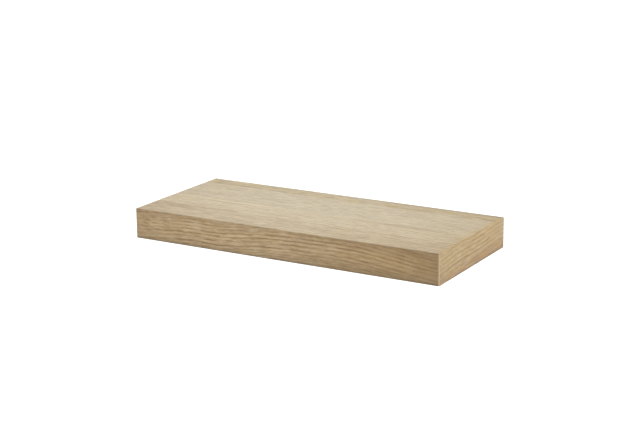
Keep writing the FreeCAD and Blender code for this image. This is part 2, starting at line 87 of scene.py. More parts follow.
class Wire:
    """A value that runs between nodes. What is done to it adds nodes to its tree."""

    def __init__(self, bench: "Bench", socket: NodeSocket) -> None:
        """Keeps the bench that the wire belongs to and the socket that it leaves."""
        self.bench = bench
        self.socket = socket

    def __getitem__(self, output: int | str) -> "Wire":
        """The wire that leaves another output of the same node."""
        return Wire(self.bench, self.socket.node.outputs[output])

    def maths(self, operation: str, other: "Feed" = 0.0) -> "Wire":
        """One Math node on this wire and another value."""
        return self.bench.maths(operation, self, other)

    def __add__(self, other: "Feed") -> "Wire":
        """Adds."""
        return self.maths("ADD", other)

    def __sub__(self, other: "Feed") -> "Wire":
        """Takes away."""
        return self.maths("SUBTRACT", other)

    def __rsub__(self, other: "Feed") -> "Wire":
        """Takes this wire away from a number."""
        return self.bench.maths("SUBTRACT", other, self)

    def __mul__(self, other: "Feed") -> "Wire":
        """Multiplies."""
        return self.maths("MULTIPLY", other)

    def __truediv__(self, other: "Feed") -> "Wire":
        """Divides."""
        return self.maths("DIVIDE", other)

    def __abs__(self) -> "Wire":
        """Drops the sign."""
        return self.maths("ABSOLUTE")

    __radd__ = __add__
    __rmul__ = __mul__

    def ease(self, low: "Feed", high: "Feed") -> "Wire":
        """0 below low, 1 above high, and smooth between. Swapped ends turn it round."""
        feeds = {"Value": self, "From Min": low, "From Max": high}
        return self.bench.node("ShaderNodeMapRange", feeds, interpolation_type="SMOOTHSTEP")

    def span(self, low: float, high: float, first: float = 0.0, last: float = 1.0) -> "Wire":
        """Carries low over to first and high to last, held at its ends."""
        feeds = {"Value": self, "From Min": low, "From Max": high, "To Min": first, "To Max": last}
        return self.bench.node("ShaderNodeMapRange", feeds)

    def parts(self) -> tuple["Wire", "Wire", "Wire"]:
        """The three numbers of a vector."""
        numbers = self.bench.node("ShaderNodeSeparateXYZ", {0: self})
        return numbers[0], numbers[1], numbers[2]

    def curve(self, points: Points) -> "Wire":
        """Reads a smooth curve.

        Args:
            points: the (place, height) pairs that it runs through, in order of place.

        Returns:
            The height at the place that this wire gives.
        """
        left, right = points[0][0], points[-1][0]
        bottom = min(height for _, height in points)
        rise = max(max(height for _, height in points) - bottom, 1e-6)
        spots = [((place - left) / (right - left), (height - bottom) / rise) for place, height in points]
        reading = self.bench.node("ShaderNodeFloatCurve", {"Value": (self - left) / (right - left)})
        mapping = reading.socket.node.mapping
        line = mapping.curves[0]
        line.points[0].location, line.points[1].location = spots[0], spots[-1]
        for spot in spots[1:-1]:
            line.points.new(*spot)
        mapping.update()
        return reading * rise + bottom


Feed = Wire | float | int | str | tuple | ID
Feeds = dict[str, Feed]


class Bench:
    """Adds, sets and connects the nodes of one tree."""

    def __init__(self, tree: NodeTree) -> None:
        """Works on the given tree."""
        self.tree = tree

    def feed(self, socket: NodeSocket, value: Feed) -> None:
        """Connects or sets an input.

        Args:
            socket: the input.
            value: a wire, a plain value, or a vector with a wire among its numbers.
        """
        if isinstance(value, tuple) and any(isinstance(part, Wire) for part in value):
            value = self.node("ShaderNodeCombineXYZ", dict(enumerate(value)))
        if isinstance(value, Wire):
            self.tree.links.new(value.socket, socket)
        else:
            socket.default_value = value

    def node(self, kind: str, feeds: dict[int | str, Feed] | None = None, **settings: object) -> Wire:
        """Adds a node.

        Args:
            kind: Blender's name for the node type.
            feeds: what goes into its inputs, by name or place.
            **settings: its own properties.

        Returns:
            The wire that leaves its first output.
        """
        node = self.tree.nodes.new(kind)
        for key, value in settings.items():
            setattr(node, key, value)
        for key, value in (feeds or {}).items():
            self.feed(node.inputs[key], value)
        return Wire(self, node.outputs[0])

    def use(self, group: NodeTree, feeds: Feeds) -> Wire:
        """Places a shared group in a material."""
        return self.node("ShaderNodeGroup", feeds, node_tree=group)

    def maths(self, operation: str, first: Feed, second: Feed) -> Wire:
        """One Math node."""
        return self.node("ShaderNodeMath", {0: first, 1: second}, operation=operation)

    def distance(self, x: Wire, y: Wire) -> Wire:
        """How far a point lies from 0."""
        return (x * x + y * y).maths("SQRT")

    def mix(self, share: Feed, first: Feed, second: Feed) -> Wire:
        """Goes from one number to another as the share goes from 0 to 1."""
        return self.node("ShaderNodeMix", {0: share, 2: first, 3: second}, data_type="FLOAT")

    def tint(self, share: Feed, first: Feed, second: Feed, mode: str = "MIX") -> Wire:
        """Goes from one colour to another as the share goes from 0 to 1."""
        feeds = {0: share, 6: first, 7: second}
        return self.node("ShaderNodeMix", feeds, data_type="RGBA", blend_type=mode)[2]

    def noise(self, place: Feed, detail: float = 2.0, rough: float = 0.5, scale: float = 1.0) -> Wire:
        """Cloudy noise about 0.5."""
        feeds = {"Vector": place, "Scale": scale, "Detail": detail, "Roughness": rough}
        return self.node("ShaderNodeTexNoise", feeds)


SOCKETS = {float: "NodeSocketFloat", int: "NodeSocketInt", tuple: "NodeSocketVector"}
Draw = Callable[[Bench, Wire], Feeds]
DrawShape = Callable[[Bench, Wire], Wire]
Tree = Callable[[], NodeTree]


def shared_tree(name: str, kind: str, inputs: Feeds, draw: Draw) -> NodeTree:
    """Builds a node tree the first time that it is asked for.

    Args:
        name: its name, under which it is found again.
        kind: Shader or Geometry.
        inputs: the names of its inputs, with defaults or with the types of their sockets.
        draw: adds the nodes, from a wire that holds the inputs to the outputs by name.

    Returns:
        The tree.
    """
    if name in bpy.data.node_groups:
        return bpy.data.node_groups[name]
    tree = bpy.data.node_groups.new(name, f"{kind}NodeTree")
    for title, default in inputs.items():
        typed = isinstance(default, str)
        socket_type = default if typed else SOCKETS[type(default)]
        socket = tree.interface.new_socket(name=title, in_out="INPUT", socket_type=socket_type)
        if not typed:
            socket.default_value = default
    bench = Bench(tree)
    results = draw(bench, bench.node("NodeGroupInput"))
    leaving = tree.nodes.new("NodeGroupOutput")
    socket_type = "NodeSocketGeometry" if kind == "Geometry" else "NodeSocketFloat"
    for title, value in results.items():
        tree.interface.new_socket(name=title, in_out="OUTPUT", socket_type=socket_type)
        bench.feed(leaving.inputs[title], value)
    return tree


def shader_group(name: str, **inputs: Feed) -> Callable[[Draw], Tree]:
    """Turns a function that draws an effect into one that gives its shared group."""
    return lambda draw: lambda: shared_tree(name, "Shader", inputs, draw)


def shape_tree(name: str, **inputs: Feed) -> Callable[[DrawShape], Tree]:
    """Turns a function that draws a shape into one that gives its tree, with a material and an end to it.

    Args:
        name: the tree's name.
        **inputs: its inputs besides the material.

    Returns:
        The decorator.
    """

    def finish(draw: DrawShape, bench: Bench, at: Wire) -> Feeds:
        """Realizes the instances, smooths the shading and sets the material."""
        real = bench.node("GeometryNodeRealizeInstances", {"Geometry": draw(bench, at)})
        smooth = bench.node("GeometryNodeSetShadeSmooth", {"Geometry": real})
        feeds = {"Geometry": smooth, "Material": at["Material"]}
        return {"Geometry": bench.node("GeometryNodeSetMaterial", feeds)}

    inputs["Material"] = "NodeSocketMaterial"
    return lambda draw: lambda: shared_tree(name, "Geometry", inputs, partial(finish, draw))


# ---------------------------------------------------------------- shared effects, drawn in millimetres


@shader_group("Oak Figure", Along=0.0, Across=0.0, Ring=0.0, Seed=0.0, Wander=0.5, Grain=2.5, Pores=0.5)
def oak_figure(bench: Bench, at: Wire) -> Feeds:
    """What sliced oak shows. All but the lines and the pores swing about 0.

    Args:
        bench: the group's tree.
        at: the group's inputs.

    Returns:
        The group's outputs.
    """
    along, across, seed = at["Along"], at["Across"], at["Seed"]
    drift = bench.noise((along * 0.011, across * 0.045, seed)) - 0.5
    ring = at["Ring"] + drift * at["Wander"]
    swing = 1.0 - ring.maths("PINGPONG", 0.5) * 2.0
    broken = bench.noise((along * 0.034, ring * 1.1, seed + 4.1), rough=0.6)
    lines = swing.maths("MAXIMUM", 0.0).maths("POWER", 1.9) * broken.span(0.34, 0.66, 0.5, 1.15)
    swings = {
        "Streaks": bench.noise((along * 0.02, across / (at["Grain"] * 2.0), seed + 9.7), 3.0, 0.62),
        "Dashes": bench.noise((along * 0.055, across / (at["Grain"] * 0.9), seed + 31.0)),
        "Fibres": bench.noise((along * 0.06, across * 3.4, seed + 13.3), 4.0, 0.62),
        "Clouds": bench.noise((along * 0.014, across * 0.05, seed + 17.9), 3.0),
        "Warmth": bench.noise((along * 0.04, across * 0.09, seed + 41.0)),
    }
    cells = {"Vector": (along * 0.13, across * 3.2, seed), "Scale": 1.0}
    grid = bench.node("ShaderNodeTexVoronoi", cells, voronoi_dimensions="2D")
    _, depth, lot = grid["Color"].parts()
    open_here = lot.ease(at["Pores"] * (0.4 + lines), at["Pores"] * (0.3 + lines))
    pores = open_here * grid["Distance"].ease(0.4, 0.2) * (depth * 0.6 + 0.7)
    return {"Lines": lines, "Pores": pores, **{title: wire - 0.5 for title, wire in swings.items()}}


@shader_group("Edge Mask", Place=(0.0,) * 3, Centre=(0.0,) * 3, Half=(1.0,) * 3, Width=1.0)
def edge_mask(bench: Bench, at: Wire) -> Feeds:
    """1 on a box's arrises and 0 a given width away from them."""
    axes = zip(*(at[key].parts() for key in ("Place", "Centre", "Half")))
    x, y, z = (half - abs(place - centre) for place, centre, half in axes)
    second = x.maths("MINIMUM", y).maths("MAXIMUM", x.maths("MAXIMUM", y).maths("MINIMUM", z))
    return {"Edge": second.ease(at["Width"], 0.0)}


@shader_group("Log Rings", Along=0.0, Side=0.0, Height=0.0, Pitch=3.2, Seed=0.0)
def log_rings(bench: Bench, at: Wire) -> Feeds:
    """Softwood rings round a pith line, so that faces, edges and end grain agree.

    Args:
        bench: the group's tree.
        at: the group's inputs.

    Returns:
        The group's outputs.
    """
    along, side, height, seed = at["Along"], at["Side"], at["Height"], at["Seed"]
    bend = bench.noise((along * 0.004, seed, 0.0), 1.0) - 0.5
    lump = bench.noise((along * 0.012, side * 0.05, height * 0.05 + seed)) - 0.5
    out = bench.distance(side, height) + bend * 30.0 + lump * 3.0
    phase = (out / at["Pitch"]).maths("FRACT")
    fibres = bench.noise((along * 0.05, side * 2.6, height * 2.6 + seed), 3.0, 0.6)
    return {"Late": phase.ease(0.35, 0.9) * phase.ease(1.0, 0.93), "Fibres": fibres, "Clouds": lump + 0.5}


@shader_group("Pressed Fibre", Place=(0.0,) * 3, Fibre=1.5)
def pressed_fibre(bench: Bench, at: Wire) -> Feeds:
    """Felted fibres and specks, as in hardboard and brown paper."""
    x, y, z = at["Place"].parts()
    size = at["Fibre"]
    one = bench.noise((x / size, y * 3.4 / size, z * 3.4 / size), 3.0)
    two = bench.noise((x * 3.4 / size + 7.0, y / size, z * 3.4 / size), 3.0)
    return {"Fibres": (one + two) * 0.5, "Specks": bench.noise(at["Place"], 1.0, scale=1.7).ease(0.66, 0.74)}


@shader_group("Metal Marks", Along=0.0, Side=0.0, Height=0.0)
def metal_marks(bench: Bench, at: Wire) -> Feeds:
    """Drawing lines, stains and fine scratches of bar stock."""
    along, side, height = at["Along"], at["Side"], at["Height"]
    lines = bench.noise((along * 0.02, side * 2.2, height * 2.2), 4.0, 0.65)
    stains = bench.noise((along, side, height), 4.0, 0.6, scale=0.055)
    scratches = bench.noise((along * 0.5, side * 0.35, height * 0.35 + 3.0), 6.0, 0.75).ease(0.6, 0.66)
    return {"Lines": lines, "Stains": stains, "Scratches": scratches}


# ---------------------------------------------------------------- finishes


class Axis(Enum):
    """A direction: of grain, of drawing lines or of a turned shape."""

    LENGTH = "x"
    DEPTH = "y"
    HEIGHT = "z"


class Dressing(Bench):
    """A material under way: its nodes, the place in millimetres and the shader that they end in."""

    def __init__(self, name: str, **sockets: float) -> None:
        """Starts a material.

        Args:
            name: the material's name.
            **sockets: the shader's plain values, with _ for a space.
        """
        self.material = bpy.data.materials.new(name)
        self.material.use_nodes = True
        super().__init__(self.material.node_tree)
        self.shader = self.tree.nodes["Principled BSDF"]
        for key, value in sockets.items():
            self.shader.inputs[key.replace("_", " ")].default_value = value
        place = self.node("ShaderNodeTexCoord")["Object"]
        self.place = self.node("ShaderNodeVectorMath", {0: place, "Scale": PER_METRE}, operation="SCALE")

    def bar(self, axis: Axis) -> dict[str, Wire]:
        """The place along a bar, across it and above it."""
        x, y, z = self.place.parts()
        along, side = (x, y) if axis is Axis.LENGTH else (y, x)
        return {"Along": along, "Side": side, "Height": z}

    def finish(self, colour: Wire, roughness: Wire, relief: Wire, depth: float) -> Material:
        """Connects what was drawn.

        Args:
            colour: the base colour.
            roughness: the roughness.
            relief: the height of the surface, in units of depth.
            depth: how deep one unit is, in millimetres.

        Returns:
            The finished material.
        """
        bump = self.node("ShaderNodeBump", {"Height": relief, "Distance": depth * MM, "Strength": 1.0})
        for title, value in {"Base Color": colour, "Roughness": roughness, "Normal": bump}.items():
            self.feed(self.shader.inputs[title], value)
        return self.material


class OakSide(Enum):
    """The faces of the board that are covered in oak."""

    TOP = "top"
    BOTTOM = "bottom"
    FRONT = "front"
    LEFT = "left_end"
    RIGHT = "right_end"


@dataclass(frozen=True)
class Leaf:
    """A strip of veneer in its own tone: where it starts, how it's joined and how strong its figure is.

    With no melt the joint is cut and the figure starts afresh; otherwise it changes over that far.
    """

    start: float
    light: Colour
    dark: Colour
    slant: float = 0.0
    soft: float = 0.4
    ragged: float = 0.0
    melt: float = 0.0
    follow: float = 1.0
    drift: float = 0.0
    pitch: float = 6.5
    lines: float = 0.55
    streaks: float = 0.9
    dashes: float = 0.4
    warmth: float = 0.25


@dataclass(frozen=True)
class Streak:
    """A single dark or pale mark along the grain, in millimetres."""

    along: float
    across: float
    length: float
    width: float
    strength: float

    def draw(self, bench: Bench, along: Wire, across: Wire) -> Wire:
        """A soft spindle."""
        far = bench.distance((along - self.along) / self.length, (across - self.across) / self.width)
        return far.ease(1.0, 0.15) * self.strength


@dataclass(frozen=True)
class Swirl:
    """The swirl beside a knot: its place, how far it reaches and how far it pushes the figure."""

    along: float
    across: float
    reach: float
    push: float


@dataclass(frozen=True)
class OakFace:
    """Sliced oak on one face of the board, laid as one or more leaves.

    The curves are (place, height) points, with places in millimetres. Along the grain, rise is how far the
    figure climbs, tone and warm are how much light and blue are left, and strength is how bold the figure is.
    Across the grain, chart gives the boldness of each growth line, and shade is how much light is left.
    """

    side: OakSide
    seed: float
    leaves: tuple[Leaf, ...]
    rise: Points = ((0.0, 0.0), (1.0, 0.0))
    chart: Points = ()
    tone: Points = ((0.0, 1.0), (1.0, 1.0))
    warm: Points = ((0.0, 1.0), (1.0, 1.0))
    strength: Points = ((0.0, 1.0), (1.0, 1.0))
    shade: Points = ((0.0, 1.0), (1.0, 1.0))
    streaks: tuple[Streak, ...] = ()
    wander: float = 0.5
    grain: float = 2.5
    fibres: float = 0.6
    pores: float = 0.5
    # How strongly the painted highlight is laid on the front right arris.
    wear_and_highlight: float = 0.2
    swirl: Swirl | None = None

    def lay_out(self, place: Wire) -> tuple[Wire, Wire]:
        """The distances along the grain and across it, from the face's own corner."""
        x, y, z = place.parts()
        along = x + LENGTH / 2 if self.side in (OakSide.TOP, OakSide.BOTTOM, OakSide.FRONT) else y + DEPTH
        return along, y * -1.0 if self.side in (OakSide.TOP, OakSide.BOTTOM) else z + HEIGHT / 2

    def material(self) -> Material:
        """Builds the material of this face.

        Returns:
            The oak as this face shows it.
        """
        bench = Dressing(f"oak_{self.side.value}", Specular_IOR_Level=0.5)
        along, across = self.lay_out(bench.place)
        leaf = self.blend_leaves(bench, along, across)
        push, mottle, calm = self.draw_swirl(bench, along, across)
        level = across - along.curve(self.rise) * leaf["follow"]
        level = level - along * leaf["drift"] * (1.0 / LENGTH) + push
        ring, bold = level / leaf["pitch"] + leaf["seed"], leaf["lines"]
        if self.chart:
            ring = level.curve([(height, float(number)) for number, (height, _) in enumerate(self.chart)])
            bold = bold * level.curve(self.chart)
        feeds = {"Along": along, "Across": level, "Ring": ring, "Seed": leaf["seed"], "Wander": self.wander}
        figure = bench.use(oak_figure(), {**feeds, "Grain": self.grain, "Pores": self.pores})
        pattern = (figure["Lines"] - 0.25) * bold * calm
        pattern = pattern + figure["Streaks"] * leaf["streaks"] + figure["Dashes"] * leaf["dashes"]
        darkness = pattern * along.curve(self.strength) + figure["Clouds"] * 0.45 + 0.5
        darkness = darkness + figure["Fibres"] * self.fibres + mottle
        for streak in self.streaks:
            darkness = darkness + streak.draw(bench, along, level)
        colour = bench.tint(darkness, leaf["light"], leaf["dark"])
        colour = bench.tint(figure["Pores"] * 0.45, colour, paint(0.235, 0.13, 0.044))
        # Painted light and shade: tone darkens each face along its length where less light falls, and shade
        # darkens it towards its rims.
        tone, warm = along.curve(self.tone) * across.curve(self.shade), along.curve(self.warm)
        flush = figure["Warmth"] * leaf["warmth"]
        lit = (tone * (1.0 + flush * 0.3), tone * (warm * 0.35 + 0.65), tone * warm * (1.0 - flush))
        colour = bench.tint(1.0, colour, lit, "MULTIPLY")
        # Painted highlight: a pale line, paint(0.66, 0.51, 0.30), down the front right arris where light
        # catches the rounded corner.
        edge = self.painted_edge_highlight(bench)
        colour = bench.tint(edge * self.wear_and_highlight, colour, paint(0.66, 0.51, 0.30))
        rough = 0.5 + figure["Streaks"] * 0.15 + figure["Pores"] * 0.15 - edge * 0.06
        relief = figure["Fibres"] * 0.25 - figure["Pores"] - figure["Lines"] * 0.25
        return bench.finish(colour, rough, relief, depth=0.07)

    @staticmethod
    def painted_edge_highlight(bench: Dressing) -> Wire:
        """Marks the front right arris for a painted highlight, by a block too large to meet the board
        elsewhere.
        """
        half = Vector((400.0, 317.5, 400.0))
        centre = (LENGTH / 2 - half.x, half.y - DEPTH, 0.0)
        return bench.use(edge_mask(), {"Place": bench.place, "Centre": centre, "Half": half, "Width": 3.0})

    def blend_leaves(self, bench: Bench, along: Wire, across: Wire) -> dict[str, Feed]:
        """Finds the values of the leaf that lies at each place.

        Args:
            bench: the material's bench.
            along: the distance along the grain.
            across: the distance across it.

        Returns:
            Each of the leaf's values by its name, and its own seed, melted together over the joints.
        """
        colours, boldness = ("light", "dark"), ("lines", "streaks", "dashes", "warmth")
        course = ("follow", "drift", "pitch")
        blend: dict[str, Feed] = {key: getattr(self.leaves[0], key) for key in colours + boldness + course}
        blend["seed"] = self.seed
        for number, leaf in enumerate(self.leaves[1:], 1):
            waver = bench.noise((along * 0.02, self.seed + number, 0.0), 3.0) - 0.5
            border = leaf.start + along * (leaf.slant / LENGTH) + waver * leaf.ragged
            here = across.ease(border - leaf.soft, border + leaf.soft)
            if leaf.melt:
                changed = across.ease(leaf.start - leaf.melt, leaf.start + leaf.melt)
            else:
                changed = across.maths("GREATER_THAN", border)
                blend["seed"] = bench.mix(changed, blend["seed"], self.seed + 5.3 * number)
            ways = ((colours, here, bench.tint), (boldness, here, bench.mix), (course, changed, bench.mix))
            for keys, share, way in ways:
                for key in keys:
                    blend[key] = way(share, blend[key], getattr(leaf, key))
        return blend

    def draw_swirl(self, bench: Bench, along: Wire, across: Wire) -> tuple[Feed, Feed, Feed]:
        """Draws the swirl, where the face has one.

        Args:
            bench: the material's bench.
            along: the distance along the grain.
            across: the distance across it.

        Returns:
            How far the figure is pushed aside, how much darker the wood is and how much is left of the lines.
        """
        if self.swirl is None:
            return 0.0, 0.0, 1.0
        near = abs(along - self.swirl.along).ease(self.swirl.reach, 0.0)
        near = near * abs(across - self.swirl.across).ease(self.swirl.reach * 0.5, 0.0)
        churn = bench.noise((along * 0.035, across * 0.06, self.seed)) - 0.5
        mottle = bench.noise((along * 0.08, across * 0.32, self.seed + 2.0)) - 0.5
        return churn * near * self.swirl.push, mottle * near * 1.7, 1.0 - near * 0.7


@dataclass(frozen=True)
class Softwood:
    """Planed pine or spruce for the frame, cut beside a pith line."""

    axis: Axis
    pith: tuple[float, float]
    seed: float

    def material(self) -> Material:
        """Builds the timber's material.

        Returns:
            The softwood, with its rings round the pith.
        """
        bench = Dressing(f"softwood_{self.axis.name.lower()}_{self.seed:.0f}", Specular_IOR_Level=0.35)
        place = bench.bar(self.axis)
        place["Side"] -= self.pith[0]
        place["Height"] -= self.pith[1]
        wood = bench.use(log_rings(), {**place, "Seed": self.seed})
        colour = bench.tint(wood["Late"] * 0.75, paint(0.70, 0.52, 0.31), paint(0.46, 0.26, 0.11))
        colour = bench.tint((wood["Fibres"] - 0.35) * 0.5, colour, paint(0.58, 0.39, 0.20))
        colour = bench.tint((wood["Clouds"] - 0.5) * 0.6, colour, paint(0.74, 0.55, 0.33))
        rough = 0.62 + (wood["Fibres"] - 0.5) * 0.3
        return bench.finish(colour, rough, wood["Fibres"] + wood["Late"] * 0.5, depth=0.12)


@dataclass(frozen=True)
class FibreSheet:
    """Hardboard or brown paper."""

    name: str
    light: Colour
    dark: Colour
    fibre: float
    relief: float

    def material(self) -> Material:
        """Builds the sheet's material."""
        bench = Dressing(self.name, Specular_IOR_Level=0.3)
        felt = bench.use(pressed_fibre(), {"Place": bench.place, "Fibre": self.fibre})
        colour = bench.tint(felt["Fibres"].ease(0.3, 0.7), self.light, self.dark)
        colour = bench.tint(felt["Specks"] * 0.6, colour, self.dark)
        return bench.finish(colour, 0.78 + (felt["Fibres"] - 0.5) * 0.3, felt["Fibres"], self.relief)


@dataclass(frozen=True)
class BarMetal:
    """A drawn, plated or blackened metal."""

    name: str
    axis: Axis
    light: Colour
    dark: Colour
    rough: float
    welded_at: float | None = None

    def material(self) -> Material:
        """Builds the metal's material.

        Returns:
            The metal, with its drawing lines and stains.
        """
        bench = Dressing(self.name, Metallic=1.0)
        marks = bench.use(metal_marks(), bench.bar(self.axis))
        # On metal this share is real wear only: stains and drawing lines.
        wear_and_highlight = (marks["Stains"] * 0.5 + marks["Lines"] * 0.5).ease(0.35, 0.65)
        colour = bench.tint(wear_and_highlight, self.light, self.dark)
        colour = bench.tint(marks["Scratches"] * 0.35, colour, self.light)
        rough = self.rough + (marks["Stains"] - 0.5) * 0.25 + (marks["Lines"] - 0.5) * 0.25
        if self.welded_at:
            colour = self.draw_heat(bench, colour, marks["Stains"])
        return bench.finish(colour, rough, marks["Lines"] - marks["Scratches"] * 0.3, depth=0.02)

    def draw_heat(self, bench: Dressing, colour: Wire, stains: Wire) -> Wire:
        """Draws the straw and blue rings that a weld leaves.

        Args:
            bench: the material's bench.
            colour: the metal's colour.
            stains: what makes the rings uneven.

        Returns:
            The colour with the rings.
        """
        x, y, z = bench.place.parts()
        far = bench.distance(abs(x) - self.welded_at, z) + (stains - 0.5) * 3.0
        front, wall, straw, blue = (-20.0, -7.0), (-0.4, -3.4), (17.0, 12.5), (13.0, 10.5)
        near = y.ease(*front) * y.ease(*wall)
        colour = bench.tint(far.ease(*straw) * near * 0.55, colour, paint(0.42, 0.30, 0.14))
        return bench.tint(far.ease(*blue) * near * 0.5, colour, paint(0.16, 0.17, 0.24))


# ---------------------------------------------------------------- meshes


def new_piece(name: str, mesh: Mesh) -> Object:
    """Puts a mesh in the scene as an object at the origin."""
    piece = bpy.data.objects.new(name, mesh)
    bpy.context.scene.collection.objects.link(piece)
    return piece


def smooth_piece(name: str, form: bmesh.types.BMesh) -> Object:
    """Closes a bmesh and makes it a piece with outward faces and smooth shading.

    Args:
        name: the object's name.
        form: the bmesh, which is freed.

    Returns:
        The object.
    """
    bmesh.ops.recalc_face_normals(form, faces=form.faces)
    for face in form.faces:
        face.smooth = True
    mesh = bpy.data.meshes.new(name)
    form.to_mesh(mesh)
    form.free()
    return new_piece(name, mesh)


def even_shading(piece: Object) -> None:
    """Keeps flat faces flat beside eased edges."""
    piece.modifiers.new("Even shading", "WEIGHTED_NORMAL").keep_sharp = True


def eased_copy(node: str, name: str, width: float, segments: int = 2) -> Object:
    """A clean copy of a CAD node with eased edges.

    Args:
        node: the CAD node.
        name: the new object's name.
        width: how far the easing reaches, in millimetres.
        segments: its steps.

    Returns:
        The copy.
    """
    form = bmesh.new()
    form.from_mesh(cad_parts[node].data)
    bmesh.ops.remove_doubles(form, verts=form.verts, dist=1e-6)
    bmesh.ops.dissolve_limit(form, angle_limit=math.radians(0.6), verts=form.verts, edges=form.edges)
    piece = smooth_piece(name, form)
    bevel = piece.modifiers.new("Eased edges", "BEVEL")
    bevel.width = width * MM
    bevel.segments = segments
    bevel.limit_method = "ANGLE"
    bevel.angle_limit = math.radians(30)
    even_shading(piece)
    return piece


def dress(piece: Object, material: Material) -> None:
    """Gives an object its material, in the object's own slots."""
    if not piece.material_slots:
        piece.data.materials.append(None)
    for holder in piece.material_slots:
        holder.link = "OBJECT"
        holder.material = material


def seat(piece: Object, body: str, node: str) -> None:
    """Makes a piece ride on its body in place of a CAD node, and reports it.

    Args:
        piece: the finished object.
        body: the CAD body that carries it.
        node: the CAD node that it stands for.
    """
    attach(piece, body)
    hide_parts(node)
    LOG.info("%s: %d faces, on %s, for %s", piece.name, len(piece.data.polygons), body, node)


@dataclass(frozen=True)
class Turn:
    """One ring of a turned shape: its radius and height in millimetres, and its sides if it isn't round."""

    radius: float
    height: float
    sides: int = 0

    def reach(self, angle: float) -> float:
        """How far out the ring lies at an angle, where the radius is that of the flats."""
        if not self.sides:
            return self.radius
        wedge = math.pi / self.sides
        return self.radius / math.cos(angle % (2 * wedge) - wedge)


def turned(name: str, centre: Vector, axis: Axis, rings: Sequence[Turn], around: int) -> Object:
    """Turns a closed shape out of rings, as on a lathe.

    Args:
        name: the object's name.
        centre: where height 0 lies, in millimetres.
        axis: DEPTH for a bar towards the room, HEIGHT for one that stands upright.
        rings: the rings from one pole to the other, or round a loop if neither end is a pole.
        around: points in a ring.

    Returns:
        The turned object.
    """
    form = bmesh.new()
    loops: list[list[bmesh.types.BMVert]] = []
    for ring in rings:
        loop = []
        for step in range(around if ring.radius else 1):
            angle = math.tau * step / around
            x, y = ring.reach(angle) * math.cos(angle), ring.reach(angle) * math.sin(angle)
            spot = Vector((x, ring.height, y) if axis is Axis.DEPTH else (x, y, ring.height))
            loop.append(form.verts.new((centre + spot) * MM))
        loops.append(loop)
    pairs = list(zip(loops, loops[1:]))
    if len(loops[0]) > 1 and len(loops[-1]) > 1:
        pairs.append((loops[-1], loops[0]))
    for first, second in pairs:
        for step in range(around):
            after = (step + 1) % around
            corners = [first[step % len(first)], first[after % len(first)]]
            corners += [second[after % len(second)], second[step % len(second)]]
            form.faces.new(list(dict.fromkeys(corners)))
    piece = smooth_piece(name, form)
    piece.data.set_sharp_from_angle(angle=SHARP_FROM)
    return piece


def grow(name: str, tree: NodeTree, settings: Feeds, material: Material, blank: Mesh | None = None) -> Object:
    """Runs a Geometry Nodes tree and keeps its result as a plain mesh.

    Args:
        name: the object's name.
        tree: the tree.
        settings: its inputs by name.
        material: the material that its Set Material node uses.
        blank: the mesh that it works on, or None for a tree that starts from nothing.

    Returns:
        The object, with no modifier left on it.
    """
    host = new_piece(f"{name}_blank", blank or bpy.data.meshes.new(f"{name}_blank"))
    modifier = host.modifiers.new("Nodes", "NODES")
    modifier.node_group = tree
    keys = {item.name: item.identifier for item in tree.interface.items_tree if item.in_out == "INPUT"}
    for title, value in {**settings, "Material": material}.items():
        modifier[keys[title]] = value
    graph = bpy.context.evaluated_depsgraph_get()
    mesh = bpy.data.meshes.new_from_object(host.evaluated_get(graph), depsgraph=graph)
    host.modifiers.remove(modifier)
    bpy.data.objects.remove(host)
    mesh.name = name
    mesh.set_sharp_from_angle(angle=SHARP_FROM)
    return new_piece(name, mesh)


# ---------------------------------------------------------------- shapes made by geometry nodes, in metres


def moved(bench: Bench, geometry: Wire, x: Feed, y: Feed, z: Feed) -> Wire:
    """Puts every point of a geometry where its own fields say."""
    return bench.node("GeometryNodeSetPosition", {"Geometry": geometry, "Position": (x, y, z)})


def swept(bench: Bench, line: Wire, width: Feed, height: Feed) -> Wire:
    """Sweeps a flat section along a line and closes its ends."""
    section = bench.node("GeometryNodeCurvePrimitiveQuadrilateral", {"Width": width, "Height": height})
    return bench.node("GeometryNodeCurveToMesh", {0: line, 1: section, "Fill Caps": True})


def unit_grid(bench: Bench, columns: Feed, rows: Feed) -> tuple[Wire, Wire, Wire]:
    """A flat grid, and how far each of its points lies along it and across it, from 0 to 1."""
    size = {"Size X": 1.0, "Size Y": 1.0, "Vertices X": columns, "Vertices Y": rows}
    along, across, _ = bench.node("GeometryNodeInputPosition").parts()
    return bench.node("GeometryNodeMeshGrid", size), along + 0.5, across + 0.5


